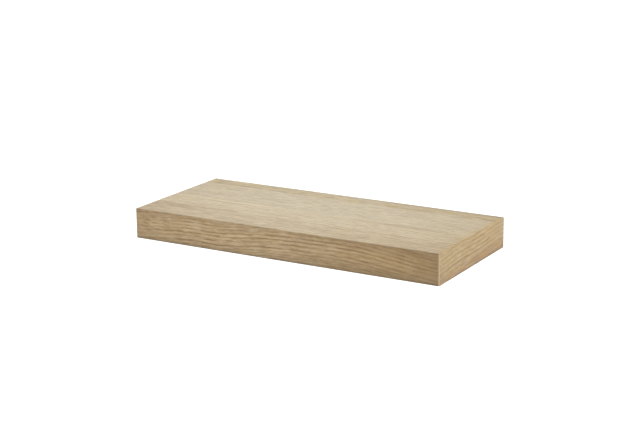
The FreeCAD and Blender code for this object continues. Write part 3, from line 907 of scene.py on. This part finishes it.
@shape_tree(
    "Honeycomb Core", Length=0.254, Width=0.166, Height=0.0428, Columns=10, Ribbons=12, Paper=0.0005,
    Slack=0.004, Centre=(0.0, 0.0, 0.0), Seed=1,
)
def honeycomb_core(bench: Bench, at: Wire) -> Wire:
    """Ribbons of paper, each folded over and under, that meet their neighbours flat to flat.

    Args:
        bench: the tree that is built.
        at: its inputs, in metres.

    Returns:
        The surface of the folded paper.
    """
    grid, along, across = unit_grid(bench, at["Columns"] * 2.0 + 2.0, at["Ribbons"])
    column = (along * (at["Columns"] * 2.0 + 1.0)).maths("ROUND")
    ribbon = (across * (at["Ribbons"] - 1.0)).maths("ROUND")
    pair = (column * 0.5).maths("FLOOR")
    step = pair * 1.5 + column.maths("MODULO", 2.0)
    turn = (pair + ribbon).maths("MODULO", 2.0) * 2.0 - 1.0
    rise = at["Width"] / at["Ribbons"]
    x = step * (at["Length"] / (at["Columns"] * 1.5 + 1.0)) - at["Length"] * 0.5
    y = (ribbon + 0.5) * rise - at["Width"] * 0.5
    y = y + turn * (rise * 0.5 - at["Paper"] * 0.55)
    inside = abs(x).ease(at["Length"] * 0.49, at["Length"] * 0.36)
    inside = inside * abs(y).ease(at["Width"] * 0.48, at["Width"] * 0.3)
    seed = at["Seed"] * 3.7
    stretch = bench.noise((x * 14.0, y * 14.0, seed), 1.0) - 0.5
    shear = bench.noise((x * 14.0, y * 14.0, seed + 20.0), 1.0) - 0.5
    folded = moved(bench, grid, x + stretch * inside * at["Slack"], y + shear * inside * at["Slack"], 0.0)
    ends = bench.node("GeometryNodeInputMeshEdgeVertices")
    apart = abs(ends["Vertex Index 1"] - ends["Vertex Index 2"])
    within = bench.node("FunctionNodeCompare", {"A": apart, "B": 1.5}, operation="LESS_THAN")
    feeds = {"Geometry": folded, "Selection": within}
    ribbons = bench.node("GeometryNodeDeleteGeometry", feeds, domain="EDGE", mode="EDGE_FACE")
    lines = bench.node("GeometryNodeMeshToCurve", {"Mesh": ribbons})
    upright = bench.node("GeometryNodeSetCurveNormal", {"Curve": lines}, mode="Z_UP")
    paper = swept(bench, upright, at["Paper"], at["Height"])
    return bench.node("GeometryNodeTransform", {"Geometry": paper, "Translation": at["Centre"]})


@shape_tree(
    "Frame Staples", Inner=0.15, Outer=0.259, Front=-0.204, Back=-0.036, Level=0.02095, Crown=0.0128,
    Leg=0.0095, Wide=0.0012, Thick=0.0009, Bend=0.0009,
)
def frame_staples(bench: Bench, at: Wire) -> Wire:
    """Wire staples over every joint of the frame, above and below.

    Args:
        bench: the tree that is built.
        at: its inputs, in metres.

    Returns:
        The surface of the bent wires.
    """
    points = bench.node("GeometryNodePoints", {"Count": 16})
    number = bench.node("GeometryNodeInputIndex")
    quarter = number.maths("MODULO", 4.0)
    sign = quarter.maths("LESS_THAN", 1.5) * 2.0 - 1.0
    row = (number * 0.25).maths("FLOOR").maths("MODULO", 2.0)
    under = (number * 0.125).maths("FLOOR")
    x = sign * bench.mix(quarter.maths("MODULO", 2.0), at["Inner"], at["Outer"])
    y = bench.mix(row, at["Front"], at["Back"])
    laid = moved(bench, points, x, y, bench.mix(under, at["Level"], at["Level"] * -1.0))
    corners = bench.node("GeometryNodeMeshLine", {"Count": 4})
    second = number.maths("GREATER_THAN", 1.5) * 2.0 - 1.0
    tip = abs(number - 1.5).maths("GREATER_THAN", 1.0)
    bent = moved(bench, corners, 0.0, second * at["Crown"] * 0.5, tip * at["Leg"] * -1.0)
    line = bench.node("GeometryNodeMeshToCurve", {"Mesh": bent})
    wire = bench.node("GeometryNodeFilletCurve", {"Curve": line, "Radius": at["Bend"]}, mode="POLY")
    staple = swept(bench, wire, at["Wide"], at["Thick"])
    feeds = {"Points": laid, "Instance": staple, "Rotation": (under * math.pi, 0.0, 0.0)}
    return bench.node("GeometryNodeInstanceOnPoints", feeds)


@shape_tree("Weld Bead", Side=0.15, Rod=0.006, Leg=0.003, Plate=-0.004, Ripples=22, Ripple=0.00022, Seed=1)
def weld_bead(bench: Bench, at: Wire) -> Wire:
    """A fillet of weld round a rod, laid in overlapping crescents.

    Args:
        bench: the tree that is built.
        at: its inputs, in metres.

    Returns:
        The surface of the bead.
    """
    grid, u, v = unit_grid(bench, 145, 13)
    cosine, sine = ((u * math.tau).maths(operation) for operation in ("COSINE", "SINE"))
    arc = v.span(0.17, 0.83)
    hidden = abs(v - 0.5).ease(0.46, 0.5)
    uneven = bench.noise((cosine, sine, at["Seed"] * 2.3), scale=1.6) - 0.5
    lag = (arc - 0.5) * (arc - 0.5) * 1.1
    beat = (u * at["Ripples"] + uneven * 1.2 + lag).maths("PINGPONG", 0.5) * 2.0
    crest = beat.maths("POWER", 0.6) * abs(arc - 0.5).ease(0.5, 0.3)
    leg = at["Leg"] * (0.93 + uneven * 0.12)
    swell = (arc * math.pi).maths("SINE") * at["Leg"] * 0.14 + crest * at["Ripple"]
    reach = at["Rod"] + bench.mix(hidden, leg * (1.0 - arc) + swell * 0.7, 0.0)
    rise = bench.mix(hidden, leg * arc + swell * 0.7, 0.0)
    laid = moved(bench, grid, at["Side"] + cosine * reach, at["Plate"] - rise, sine * reach)
    return bench.node("GeometryNodeMergeByDistance", {"Geometry": laid, "Distance": 1e-5})


@shape_tree(
    "Screw Thread", Geometry="NodeSocketGeometry", Centre=(0.0, 0.0, 0.0), Radius=0.003, Depth=0.0005,
    Pitch=0.001, From=0.0, To=0.01,
)
def screw_thread(bench: Bench, at: Wire) -> Wire:
    """A helical groove in the wall of an upright blank; a depth below zero cuts into the wall of a bore.

    Args:
        bench: the tree that is built.
        at: its inputs, in metres.

    Returns:
        The blank's surface with the groove in it.
    """
    x, y, z = bench.node("GeometryNodeInputPosition").parts()
    middle = at["Centre"].parts()
    dx, dy, dz = x - middle[0], y - middle[1], z - middle[2]
    radius = bench.distance(dx, dy)
    turns = dz / at["Pitch"] - dy.maths("ARCTAN2", dx) / math.tau
    groove = (1.0 - turns.maths("PINGPONG", 0.5) * 2.0).span(0.12, 0.88)
    on_wall = abs(radius - at["Radius"]).ease(2e-4, 1e-4)
    run_in = dz.ease(at["From"], at["From"] + at["Pitch"] * 0.6)
    run_out = dz.ease(at["To"], at["To"] - at["Pitch"] * 0.6)
    cut = groove * on_wall * run_in * run_out * at["Depth"]
    share = 1.0 - cut / radius.maths("MAXIMUM", 1e-5)
    return moved(bench, at["Geometry"], middle[0] + dx * share, middle[1] + dy * share, z)


# ---------------------------------------------------------------- sub-assemblies


@dataclass
class OakFacing:
    """The oak on the board: two veneer sheets and three edge bands."""

    ease: float = 0.75
    joint: float = 0.12
    faces: dict[OakSide, OakFace] = field(default_factory=dict)

    def build(self) -> None:
        """Builds the sheets and bands in place of the CAD's."""
        self.sheet("top_veneer", OakSide.TOP)
        self.sheet("bottom_veneer", OakSide.BOTTOM)
        self.band("front_edge_band", OakSide.FRONT)
        self.band("left_edge_band", OakSide.LEFT)
        self.band("right_edge_band", OakSide.RIGHT)

    def sheet(self, node: str, side: OakSide) -> None:
        """A veneer sheet whose rim leaves a fine joint line beside the bands."""
        piece = eased_copy(node, f"oak_{node}", self.joint, segments=1)
        dress(piece, self.faces[side].material())
        seat(piece, "board", node)

    def band(self, node: str, side: OakSide) -> None:
        """An edge band with rounded outer arrises and a fine joint line inside.

        Args:
            node: the CAD node that it stands for.
            side: the face that it covers.
        """
        low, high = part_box(node)
        form = bmesh.new()
        bmesh.ops.create_cube(form, size=1.0)
        place = Matrix.Translation((low + high) / 2) @ Matrix.Diagonal((*(high - low), 1.0))
        bmesh.ops.transform(form, matrix=place, verts=form.verts)
        outer = [edge for edge in form.edges if self.is_outer(edge, side, low, high)]
        bmesh.ops.bevel(form, geom=outer, offset=self.ease * MM, segments=5, profile=0.5, affect="EDGES")
        form.normal_update()
        inner = [edge for edge in form.edges if edge.calc_face_angle() > math.radians(60)]
        bmesh.ops.bevel(form, geom=inner, offset=self.joint * MM, segments=1, profile=0.5, affect="EDGES")
        piece = smooth_piece(f"oak_{node}", form)
        even_shading(piece)
        dress(piece, self.faces[side].material())
        seat(piece, "board", node)

    @staticmethod
    def is_outer(edge: bmesh.types.BMEdge, side: OakSide, low: Vector, high: Vector) -> bool:
        """Whether an edge of a band's block is one of the arrises that are seen and touched.

        Args:
            edge: the edge.
            side: the face that the band covers.
            low: the block's low corner.
            high: its high corner.

        Returns:
            True for an edge round the front face, or along the depth on the outside of an end.
        """
        one, other = (vert.co for vert in edge.verts)
        near = 0.05 * MM
        if side is OakSide.FRONT:
            return max(one.y, other.y) < low.y + near
        face = low.x if side is OakSide.LEFT else high.x
        return abs(one.y - other.y) > near and abs(one.x - face) < near


@dataclass
class BoardCore:
    """What the oak hides: hardboard skins, timber frame, paper core and staples."""

    saw_edge: float = 0.35
    paper: float = 0.45
    ribbons: int = 12
    hardboard: FibreSheet = FibreSheet(
        "hardboard", paint(0.27, 0.155, 0.075), paint(0.17, 0.09, 0.042), fibre=1.3, relief=0.12,
    )
    kraft: FibreSheet = FibreSheet(
        "core_paper", paint(0.52, 0.37, 0.22), paint(0.40, 0.27, 0.145), fibre=2.4, relief=0.05,
    )
    wire: BarMetal = BarMetal(
        "staple_wire", Axis.DEPTH, paint(0.62, 0.62, 0.60), paint(0.42, 0.42, 0.41), 0.38,
    )

    def build(self) -> None:
        """Dresses the skins, eases the timbers, folds the core and drives the staples."""
        skin = self.hardboard.material()
        for node in ("top_skin", "bottom_skin"):
            dress(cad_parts[node], skin)
        timbers = (
            ("front_rail", Axis.LENGTH, (-260.0, -70.0)), ("back_rail", Axis.LENGTH, (-12.0, -62.0)),
            ("left_stile", Axis.DEPTH, (-240.0, -55.0)), ("right_stile", Axis.DEPTH, (275.0, 60.0)),
            ("left_rod_rib", Axis.DEPTH, (-175.0, -66.0)), ("right_rod_rib", Axis.DEPTH, (120.0, 58.0)),
        )
        for seed, (node, axis, pith) in enumerate(timbers, 1):
            piece = eased_copy(node, f"softwood_{node}", self.saw_edge)
            dress(piece, Softwood(axis, pith, float(seed)).material())
            seat(piece, "board", node)
        paper = self.kraft.material()
        for seed, (bay, columns) in enumerate((("left", 2), ("centre", 10), ("right", 2)), 1):
            self.core(f"{bay}_honeycomb", columns, seed, paper)
        staples = grow("wire_frame_staples", frame_staples(), {}, self.wire.material())
        seat(staples, "board", "frame_staples")

    def core(self, node: str, columns: int, seed: int, paper: Material) -> None:
        """The paper core of one bay.

        Args:
            node: the CAD node that it stands for.
            columns: pairs of cells along the bay.
            seed: what makes its folds its own.
            paper: its material.
        """
        low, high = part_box(node)
        length, width, height = high - low
        settings = {"Length": length, "Width": width, "Height": height, "Centre": tuple((low + high) / 2)}
        settings |= {"Columns": columns, "Ribbons": self.ribbons, "Paper": self.paper * MM, "Seed": seed}
        seat(grow(f"folded_{node}", honeycomb_core(), settings, paper), "board", node)


@dataclass
class WallBracket:
    """The steel that stays on the wall: a plate, two rods and their welds."""

    rod_side: float = ROD_SIDE
    rod_radius: float = 6.0
    rod_tip: float = -174.0
    foot_chamfer: float = 0.4
    tip_chamfer: float = 1.5
    tip_soft: float = 0.25
    plate_ease: float = 0.4
    zinc: tuple[Colour, Colour] = (paint(0.47, 0.475, 0.47), paint(0.40, 0.407, 0.407))
    weld: BarMetal = BarMetal("weld_bead", Axis.LENGTH, paint(0.40, 0.38, 0.36), paint(0.20, 0.18, 0.19), 0.4)

    def build(self) -> None:
        """Builds the plate, the rods and the welds."""
        plate = eased_copy("back_plate", "steel_back_plate", self.plate_ease)
        dress(plate, BarMetal("zinc_plate", Axis.LENGTH, *self.zinc, 0.42, self.rod_side).material())
        seat(plate, "bracket", "back_plate")
        bar = BarMetal("zinc_rod", Axis.DEPTH, *self.zinc, 0.36, self.rod_side).material()
        bead = self.weld.material()
        for seed, (name, sign) in enumerate((("left", -1), ("right", 1)), 1):
            self.rod(f"{name}_support_rod", sign, bar)
            settings = {"Side": sign * self.rod_side * MM, "Seed": seed}
            weld = grow(f"laid_{name}_rod_weld", weld_bead(), settings, bead)
            seat(weld, "bracket", f"{name}_rod_weld")

    def rod(self, node: str, sign: int, bar: Material) -> None:
        """A support rod, with a softened chamfer at its tip that finds the bore.

        Args:
            node: the CAD node that it stands for.
            sign: -1 for the left one, 1 for the right one.
            bar: its material.
        """
        radius, foot = self.rod_radius, self.foot_chamfer
        tip, cut, soft = self.rod_tip, self.tip_chamfer, self.tip_soft
        rings = [
            Turn(0.0, 0.0), Turn(radius - foot, 0.0), Turn(radius, -foot), Turn(radius, tip + cut + soft),
            Turn(radius - soft * 0.4, tip + cut - soft * 0.6),
            Turn(radius - cut + soft * 0.6, tip + soft * 0.4), Turn(radius - cut - soft, tip), Turn(0.0, tip),
        ]
        piece = turned(f"steel_{node}", Vector((sign * self.rod_side, 0.0, 0.0)), Axis.DEPTH, rings, 64)
        dress(piece, bar)
        seat(piece, "bracket", node)


@dataclass(frozen=True)
class Thread:
    """A thread on a wall, in millimetres: the wall's radius, the groove's depth and its two ends."""

    radius: float
    depth: float
    start: float
    end: float

    def wall(self, low: float, high: float) -> list[Turn]:
        """Rings from low to high that are close enough together to hold the groove."""
        count = round((high - low) / 0.125)
        return [Turn(self.radius, low + (high - low) * number / count) for number in range(count + 1)]

    def cut(self, name: str, centre: Vector, rings: Sequence[Turn], around: int, metal: Material) -> Object:
        """Turns a blank and cuts the thread into it.

        Args:
            name: the object's name.
            centre: the middle of the screw's axis, in millimetres.
            rings: the blank's rings.
            around: points in a ring.
            metal: its material.

        Returns:
            The threaded piece.
        """
        blank = turned(f"{name}_turned", centre, Axis.HEIGHT, rings, around)
        mesh = blank.data
        bpy.data.objects.remove(blank)
        settings = {"Centre": tuple(centre * MM), "Radius": self.radius * MM, "Depth": self.depth * MM}
        settings |= {"From": self.start * MM, "To": self.end * MM}
        return grow(name, screw_thread(), settings, metal, mesh)


@dataclass
class BoardLocks:
    """Brass inserts in the underside and the grub screws that bear on the rods."""

    side: float = ROD_SIDE
    depth: float = -90.0
    underside: float = -HEIGHT / 2
    insert_top: float = -11.0
    insert_radius: float = 4.98
    flange_radius: float = 6.48
    screw_top: float = -6.2
    screw_foot: float = -22.2
    socket_radius: float = 1.5
    inner: Thread = Thread(3.02, -0.3, -24.5, -11.4)
    outer: Thread = Thread(2.95, 0.42, -21.7, -7.4)
    insert_metal: BarMetal = BarMetal(
        "insert_brass", Axis.DEPTH, paint(0.80, 0.60, 0.30), paint(0.62, 0.43, 0.19), 0.3,
    )
    screw_metal: BarMetal = BarMetal(
        "black_steel", Axis.DEPTH, paint(0.055, 0.055, 0.06), paint(0.03, 0.03, 0.032), 0.42,
    )

    def build(self) -> None:
        """Builds both inserts and both screws."""
        brass, black = self.insert_metal.material(), self.screw_metal.material()
        for name, sign in (("left", -1), ("right", 1)):
            centre = Vector((sign * self.side, self.depth, 0.0))
            insert = self.inner.cut(f"brass_{name}_lock_insert", centre, self.insert_rings(), 40, brass)
            seat(insert, "board", f"{name}_lock_insert")
            screw = self.outer.cut(f"black_{name}_lock_screw", centre, self.screw_rings(), 36, black)
            seat(screw, f"{name}_lock", f"{name}_lock_screw")

    def insert_rings(self) -> list[Turn]:
        """A flanged insert: up through its bore, over its top and down its outside.

        Returns:
            The insert's rings, in that order.
        """
        foot, top, bore = self.underside, self.insert_top, self.inner.radius
        outside, flange = self.insert_radius, self.flange_radius
        return [
            Turn(bore + 0.33, foot), *self.inner.wall(foot + 0.4, top - 0.3), Turn(bore + 0.28, top),
            Turn(outside - 0.38, top), Turn(outside, top - 0.4), Turn(outside, foot + 1.2),
            Turn(flange - 0.18, foot + 1.2), Turn(flange, foot + 1.0), Turn(flange, foot + 0.25),
            Turn(flange - 0.23, foot),
        ]

    def screw_rings(self) -> list[Turn]:
        """A grub screw: down its hexagon socket, over its foot and up to its flat point.

        Returns:
            The screw's rings, in that order.
        """
        foot, top, socket, thread = self.screw_foot, self.screw_top, self.socket_radius, self.outer.radius
        return [
            Turn(0.0, foot + 3.8), Turn(socket, foot + 3.5, 6), Turn(socket, foot + 0.2, 6),
            Turn(socket + 0.18, foot), Turn(thread - 0.5, foot), Turn(thread, foot + 0.5),
            *self.outer.wall(foot + 0.6, top - 1.3), Turn(thread, top - 1.2), Turn(thread - 1.2, top),
            Turn(0.0, top),
        ]


# ---------------------------------------------------------------- studio


@dataclass
class Studio:
    """Camera, floor, sky and sun. Lengths are in millimetres and angles in degrees."""

    azimuth: float = 30.130
    elevation: float = 15.032
    roll: float = -0.417
    distance: float = 2479.73
    aim: tuple[float, float, float] = (39.286, -134.286, 3.571)
    lens: float = 87.455
    sensor: float = 36.0
    clip: tuple[float, float] = (50.0, 60000.0)
    off_centre: tuple[float, float] = (21.55, -28.092)
    floor_level: float = -1200.0
    floor_reach: float = 14000.0
    floor_colour: Colour = paint(0.82, 0.82, 0.82)
    floor_glow: float = 0.5
    sky: float = 0.6
    sun_power: float = 1.44
    sun_from: tuple[float, float, float] = (0.48, -0.087, 0.873)
    sun_width: float = 50.0

    def build(self) -> None:
        """Sets up everything that isn't part of the shelf."""
        bpy.context.scene.view_settings.view_transform = "Standard"
        self.camera()
        self.floor()
        self.world()
        self.sun()

    def camera(self) -> None:
        """Places the camera from its angles about the aim point."""
        azimuth, elevation, roll = map(math.radians, (self.azimuth, self.elevation, self.roll))
        flat = math.cos(elevation)
        back = Vector((math.sin(azimuth) * flat, -math.cos(azimuth) * flat, math.sin(elevation)))
        level = Vector((math.cos(azimuth), math.sin(azimuth), 0.0))
        upright = back.cross(level)
        right = level * math.cos(roll) + upright * math.sin(roll)
        up = upright * math.cos(roll) - level * math.sin(roll)
        eye = Vector(self.aim) - right * self.off_centre[0] - up * self.off_centre[1] + back * self.distance
        lens = bpy.data.cameras.new("camera")
        lens.lens = self.lens
        lens.sensor_width = self.sensor
        lens.clip_start, lens.clip_end = (reach * MM for reach in self.clip)
        camera = bpy.data.objects.new("camera", lens)
        bpy.context.scene.collection.objects.link(camera)
        turn = Matrix((right, up, back)).transposed().to_4x4()
        camera.matrix_world = Matrix.Translation(eye * MM) @ turn
        bpy.context.scene.camera = camera

    @staticmethod
    def seen_plainly(bench: Bench) -> Wire:
        """1 for rays that show the background as the camera sees it."""
        path = bench.node("ShaderNodeLightPath")
        seen = path["Is Camera Ray"].maths("MAXIMUM", path["Is Glossy Ray"])
        return seen.maths("MAXIMUM", path["Is Transmission Ray"])

    def floor(self) -> None:
        """A wide floor, white for the camera but for soft shadows, and seen through from below."""
        reach, level = self.floor_reach * MM, self.floor_level * MM
        corners = [(x, y, level) for y in (-reach, reach) for x in (-reach, reach)]
        mesh = bpy.data.meshes.new("floor")
        mesh.from_pydata(corners, [], [(0, 1, 3, 2)])
        floor = new_piece("floor", mesh)
        material = bpy.data.materials.new("pale_floor")
        material.use_nodes = True
        nodes = material.node_tree.nodes
        nodes.remove(nodes["Principled BSDF"])
        bench = Bench(material.node_tree)
        matt = bench.node("ShaderNodeBsdfDiffuse", {"Color": self.floor_colour})
        lift = self.seen_plainly(bench) * self.floor_glow
        glow = bench.node("ShaderNodeEmission", {"Color": WHITE, "Strength": lift})
        both = bench.node("ShaderNodeAddShader", {0: matt, 1: glow})
        clear = bench.node("ShaderNodeBsdfTransparent")
        camera_ray = bench.node("ShaderNodeLightPath")["Is Camera Ray"]
        from_below = bench.node("ShaderNodeNewGeometry")["Backfacing"] * camera_ray
        surface = bench.node("ShaderNodeMixShader", {0: from_below, 1: both, 2: clear})
        bench.feed(nodes["Material Output"].inputs["Surface"], surface)
        dress(floor, material)

    def world(self) -> None:
        """An even sky, white wherever it is seen."""
        world = bpy.data.worlds.new("sky")
        world.use_nodes = True
        bpy.context.scene.world = world
        bench = Bench(world.node_tree)
        sky = world.node_tree.nodes["Background"]
        sky.inputs["Color"].default_value = WHITE
        bench.feed(sky.inputs["Strength"], bench.mix(self.seen_plainly(bench), self.sky, 1.0))

    def sun(self) -> None:
        """A broad distant lamp."""
        light = bpy.data.lights.new("key", "SUN")
        light.energy = self.sun_power
        light.angle = math.radians(self.sun_width)
        lamp = bpy.data.objects.new("key", light)
        lamp.rotation_mode = "QUATERNION"
        lamp.rotation_quaternion = Vector(self.sun_from).to_track_quat("Z", "Y")
        bpy.context.scene.collection.objects.link(lamp)


# ---------------------------------------------------------------- the oak, face by face


def oak_faces() -> dict[OakSide, OakFace]:
    """The veneer and edging of every face, in millimetres from each face's corner.

    Returns:
        Each side's oak.
    """
    sliced = {"pitch": 7.5, "lines": 0.45, "dashes": 1.35}
    top = OakFace(
        OakSide.TOP, 3.0,
        (
            Leaf(
                0.0, paint(0.65, 0.552, 0.355), paint(0.395, 0.29, 0.155), follow=0.0, streaks=1.4,
                warmth=0.9, **sliced,
            ),
            Leaf(
                28.0, paint(0.69, 0.602, 0.427), paint(0.453, 0.37, 0.243), slant=8.0, soft=3.0, ragged=9.0,
                melt=22.0, follow=0.0, drift=-7.0, streaks=1.1, **sliced,
            ),
            Leaf(
                124.0, paint(0.705, 0.602, 0.422), paint(0.463, 0.367, 0.226), soft=6.0, ragged=10.0,
                melt=25.0, follow=-1.0, streaks=1.1, **sliced,
            ),
            Leaf(
                175.0, paint(0.682, 0.567, 0.379), paint(0.404, 0.306, 0.179), soft=4.0, ragged=10.0,
                melt=25.0, follow=0.0, streaks=1.1, **sliced,
            ),
        ),
        rise=((0, 0), (100, 1), (160, 4.5), (260, 4.8), (300, 7), (360, 9), (420, 5), (550, 4.5)),
        tone=(
            (0, 0.73), (2, 0.81), (5, 0.905), (35, 0.93), (100, 0.96), (200, 0.99), (350, 0.98), (450, 0.95),
            (520, 0.91), (550, 0.875),
        ),
        warm=(
            (0, 0.92), (35, 0.94), (100, 0.97), (290, 0.985), (390, 0.96), (470, 0.92), (520, 0.885),
            (536, 0.855), (543, 0.79), (550, 0.63),
        ),
        shade=((0, 0.80), (2.5, 0.88), (7, 0.98), (18, 1.0), (225, 1.0), (232, 0.95), (235, 0.88)),
        streaks=(
            # The streaks at across 0 and 234 deepen the painted shade along the back and front rims.
            Streak(75, 27, 24, 4.0, 0.5), Streak(106, 25.5, 17, 3.5, 1.0), Streak(130, 26, 12, 2.5, 0.5),
            Streak(22, 24, 14, 4.0, 0.4), Streak(190, 14, 16, 5.0, 0.3), Streak(245, 26, 12, 3.5, 0.35),
            Streak(360, 28, 18, 3.5, 0.6), Streak(412, 28.5, 20, 3.5, 0.5), Streak(497, 36, 24, 3.0, 0.5),
            Streak(535, 33, 26, 4.0, 0.8), Streak(110, 126, 190, 5.0, -0.5), Streak(60, 178, 150, 7.0, 0.35),
            Streak(40, 191, 80, 9.0, 0.25), Streak(450, 132, 125, 9.0, 0.26), Streak(60, 5, 100, 7.0, -0.35),
            Streak(430, 0, 230, 6.5, 0.55), Streak(218, 24, 30, 4.0, -0.7), Streak(380, 14, 45, 6.0, -0.25),
            Streak(60, 112, 110, 4.0, 0.3), Streak(170, 88, 70, 6.0, 0.35), Streak(25, 208, 50, 9.0, 0.35),
            Streak(258, 218, 24, 4.0, 0.5), Streak(475, 153, 50, 9.0, 0.22), Streak(470, 234, 110, 4.5, 0.6),
            Streak(365, 132, 50, 6.0, 0.25), Streak(2, 16, 22, 10.0, -0.5),
        ),
        wander=0.8, grain=4.0, fibres=1.1, pores=0.35, wear_and_highlight=0.0,
    )
    front = OakFace(
        OakSide.FRONT, 1.0,
        (
            Leaf(
                0.0, paint(0.655, 0.495, 0.296), paint(0.308, 0.193, 0.080), lines=0.66, streaks=0.8,
                dashes=1.4,
            ),
        ),
        rise=(
            (0, 0), (20, 1), (60, 4.5), (100, 7.2), (160, 7.5), (180, 9), (220, 13.2), (260, 17), (320, 19),
            (400, 19.2), (440, 16.5), (480, 12.3), (520, 7), (550, 5),
        ),
        chart=(
            (-28, 0.7), (-22, 0.7), (-16.5, 0.6), (-11.5, 0.7), (-7.5, 0.5), (-3.3, 0.7), (2.3, 1.1),
            (9.8, 0.8), (16.1, 1.4), (22.1, 1.2), (28.0, 0.5), (33.0, 0.6), (38.0, 0.7), (45, 0.8),
            (51, 0.8), (57, 0.8),
        ),
        tone=(
            (0, 0.84), (4, 0.95), (9, 1.0), (40, 1.01), (120, 1.045), (270, 1.045), (330, 0.97),
            (450, 0.91), (550, 0.75),
        ),
        warm=(
            (0, 0.93), (60, 0.96), (200, 0.985), (280, 0.985), (350, 0.945), (420, 0.865), (480, 0.815),
            (550, 0.80),
        ),
        strength=(
            (0, 0.55), (70, 0.65), (110, 1.1), (180, 1.1), (230, 1.0), (310, 1.05), (400, 0.9),
            (480, 0.65), (550, 0.42),
        ),
        shade=(
            (0, 0.50), (1.8, 0.60), (3.6, 0.765), (6, 0.875), (12, 0.965), (20, 1.04), (30, 1.06), (38, 1.04),
            (42, 0.995), (45.5, 1.03), (47, 0.98), (48.4, 0.90), (50, 0.765),
        ),
        streaks=(
            Streak(66, 36, 4, 1.6, -0.9), Streak(488, 27, 14, 2.0, 0.35), Streak(389, 25, 10, 1.6, 0.4),
            Streak(4, 46, 16, 6.0, 0.35), Streak(500, 35, 60, 7.0, 0.2), Streak(143, 8.6, 22, 2.2, 0.55),
            Streak(155, 18, 16, 2.0, 0.45), Streak(180, 11, 14, 2.0, 0.45), Streak(206, 23.5, 14, 2.0, 0.35),
            Streak(231, 20.8, 12, 2.0, -0.35), Streak(38, 24, 22, 2.0, -0.4), Streak(120, 30, 60, 4.0, -0.25),
        ),
        wander=0.25, grain=3.0, wear_and_highlight=1.0, swirl=Swirl(30.0, 34.0, 62.0, 9.0),
    )
    end_tone = {
        "light": paint(0.638, 0.472, 0.252), "dark": paint(0.366, 0.232, 0.082),
        "streaks": 0.6, "dashes": 1.3,
    }
    end_shade = (
        (0, 0.52), (2, 0.69), (4, 0.85), (6.5, 0.94), (12, 0.955), (20, 0.965), (30, 1.01), (47, 1.02),
        (50, 0.99),
    )
    right = OakFace(
        OakSide.RIGHT, 6.0,
        (
            Leaf(0.0, paint(0.6, 0.4, 0.18), paint(0.335, 0.188, 0.07), streaks=0.8, dashes=1.0, warmth=0.9),
            Leaf(10.0, slant=18.0, soft=5.0, ragged=16.0, melt=20.0, lines=0.68, **end_tone),
        ),
        rise=((0, 0), (20, 1), (35, 2.5), (60, 4.5), (75, 5), (150, 5), (180, 7), (210, 8.8), (235, 9)),
        chart=(
            (-10, 0.6), (-4, 0.6), (3.1, 0.6), (8.1, 0.6), (16.8, 1.1), (23.1, 1), (30.1, 0.8),
            (37.1, 0.8), (44.6, 0.7), (51.6, 0.7),
        ),
        strength=((0, 0.65), (45, 0.95), (85, 1.15), (135, 1.1), (180, 0.85), (235, 0.58)),
        warm=((0, 1.01), (60, 1.0), (130, 0.96), (200, 0.965), (218, 1.0), (228, 1.12), (235, 1.35)),
        shade=end_shade,
        streaks=(
            # The streaks at across 0 and below lighten and deepen the painted shade along the bottom rim.
            Streak(8, 0, 26, 5.0, -0.5), Streak(192, -8, 44, 5.0, 0.3), Streak(168, 10, 32, 5.0, 0.3),
            Streak(75, 13, 40, 12.0, 0.18), Streak(208, 16, 14, 3.0, -0.4), Streak(132, 30, 18, 3.0, -0.3),
            Streak(5, 14, 14, 6.0, 0.35), Streak(3, 48, 12, 4.0, 0.4), Streak(232, -2, 10, 8.0, 0.35),
            Streak(140, 37, 24, 3.0, 0.3), Streak(50, 8, 12, 2.5, -0.4), Streak(110, 45, 44, 2.5, -0.3),
        ),
        wander=0.25, grain=2.2, wear_and_highlight=0.5,
    )
    left = OakFace(
        OakSide.LEFT, 11.0, (Leaf(0.0, lines=0.6, pitch=6.8, **end_tone),),
        rise=((0, 0), (70, 2.5), (140, 1.5), (190, 4.5), (235, 7.0)), shade=end_shade,
    )
    bottom = OakFace(
        OakSide.BOTTOM, 23.0,
        (
            Leaf(0.0, paint(0.65, 0.54, 0.362), paint(0.42, 0.32, 0.185), pitch=9.0, lines=0.4),
            Leaf(
                64.0, paint(0.635, 0.511, 0.325), paint(0.39, 0.285, 0.155), drift=9.0, pitch=11.0,
                lines=0.45,
            ),
            Leaf(
                151.0, paint(0.66, 0.55, 0.372), paint(0.43, 0.325, 0.19), drift=-12.0, pitch=8.0,
                lines=0.35,
            ),
        ),
        rise=((0, 0), (140, 6), (300, 2), (430, 8), (550, 3)),
        wander=2.2, grain=4.0, pores=0.35, wear_and_highlight=0.0,
    )
    return {face.side: face for face in (top, front, right, left, bottom)}


def main() -> None:
    """Builds the shelf and its studio."""
    logging.basicConfig(level=logging.INFO, format="%(message)s")
    Studio().build()
    OakFacing(faces=oak_faces()).build()
    BoardCore().build()
    WallBracket().build()
    BoardLocks().build()


if __name__ == "__main__":
    main()
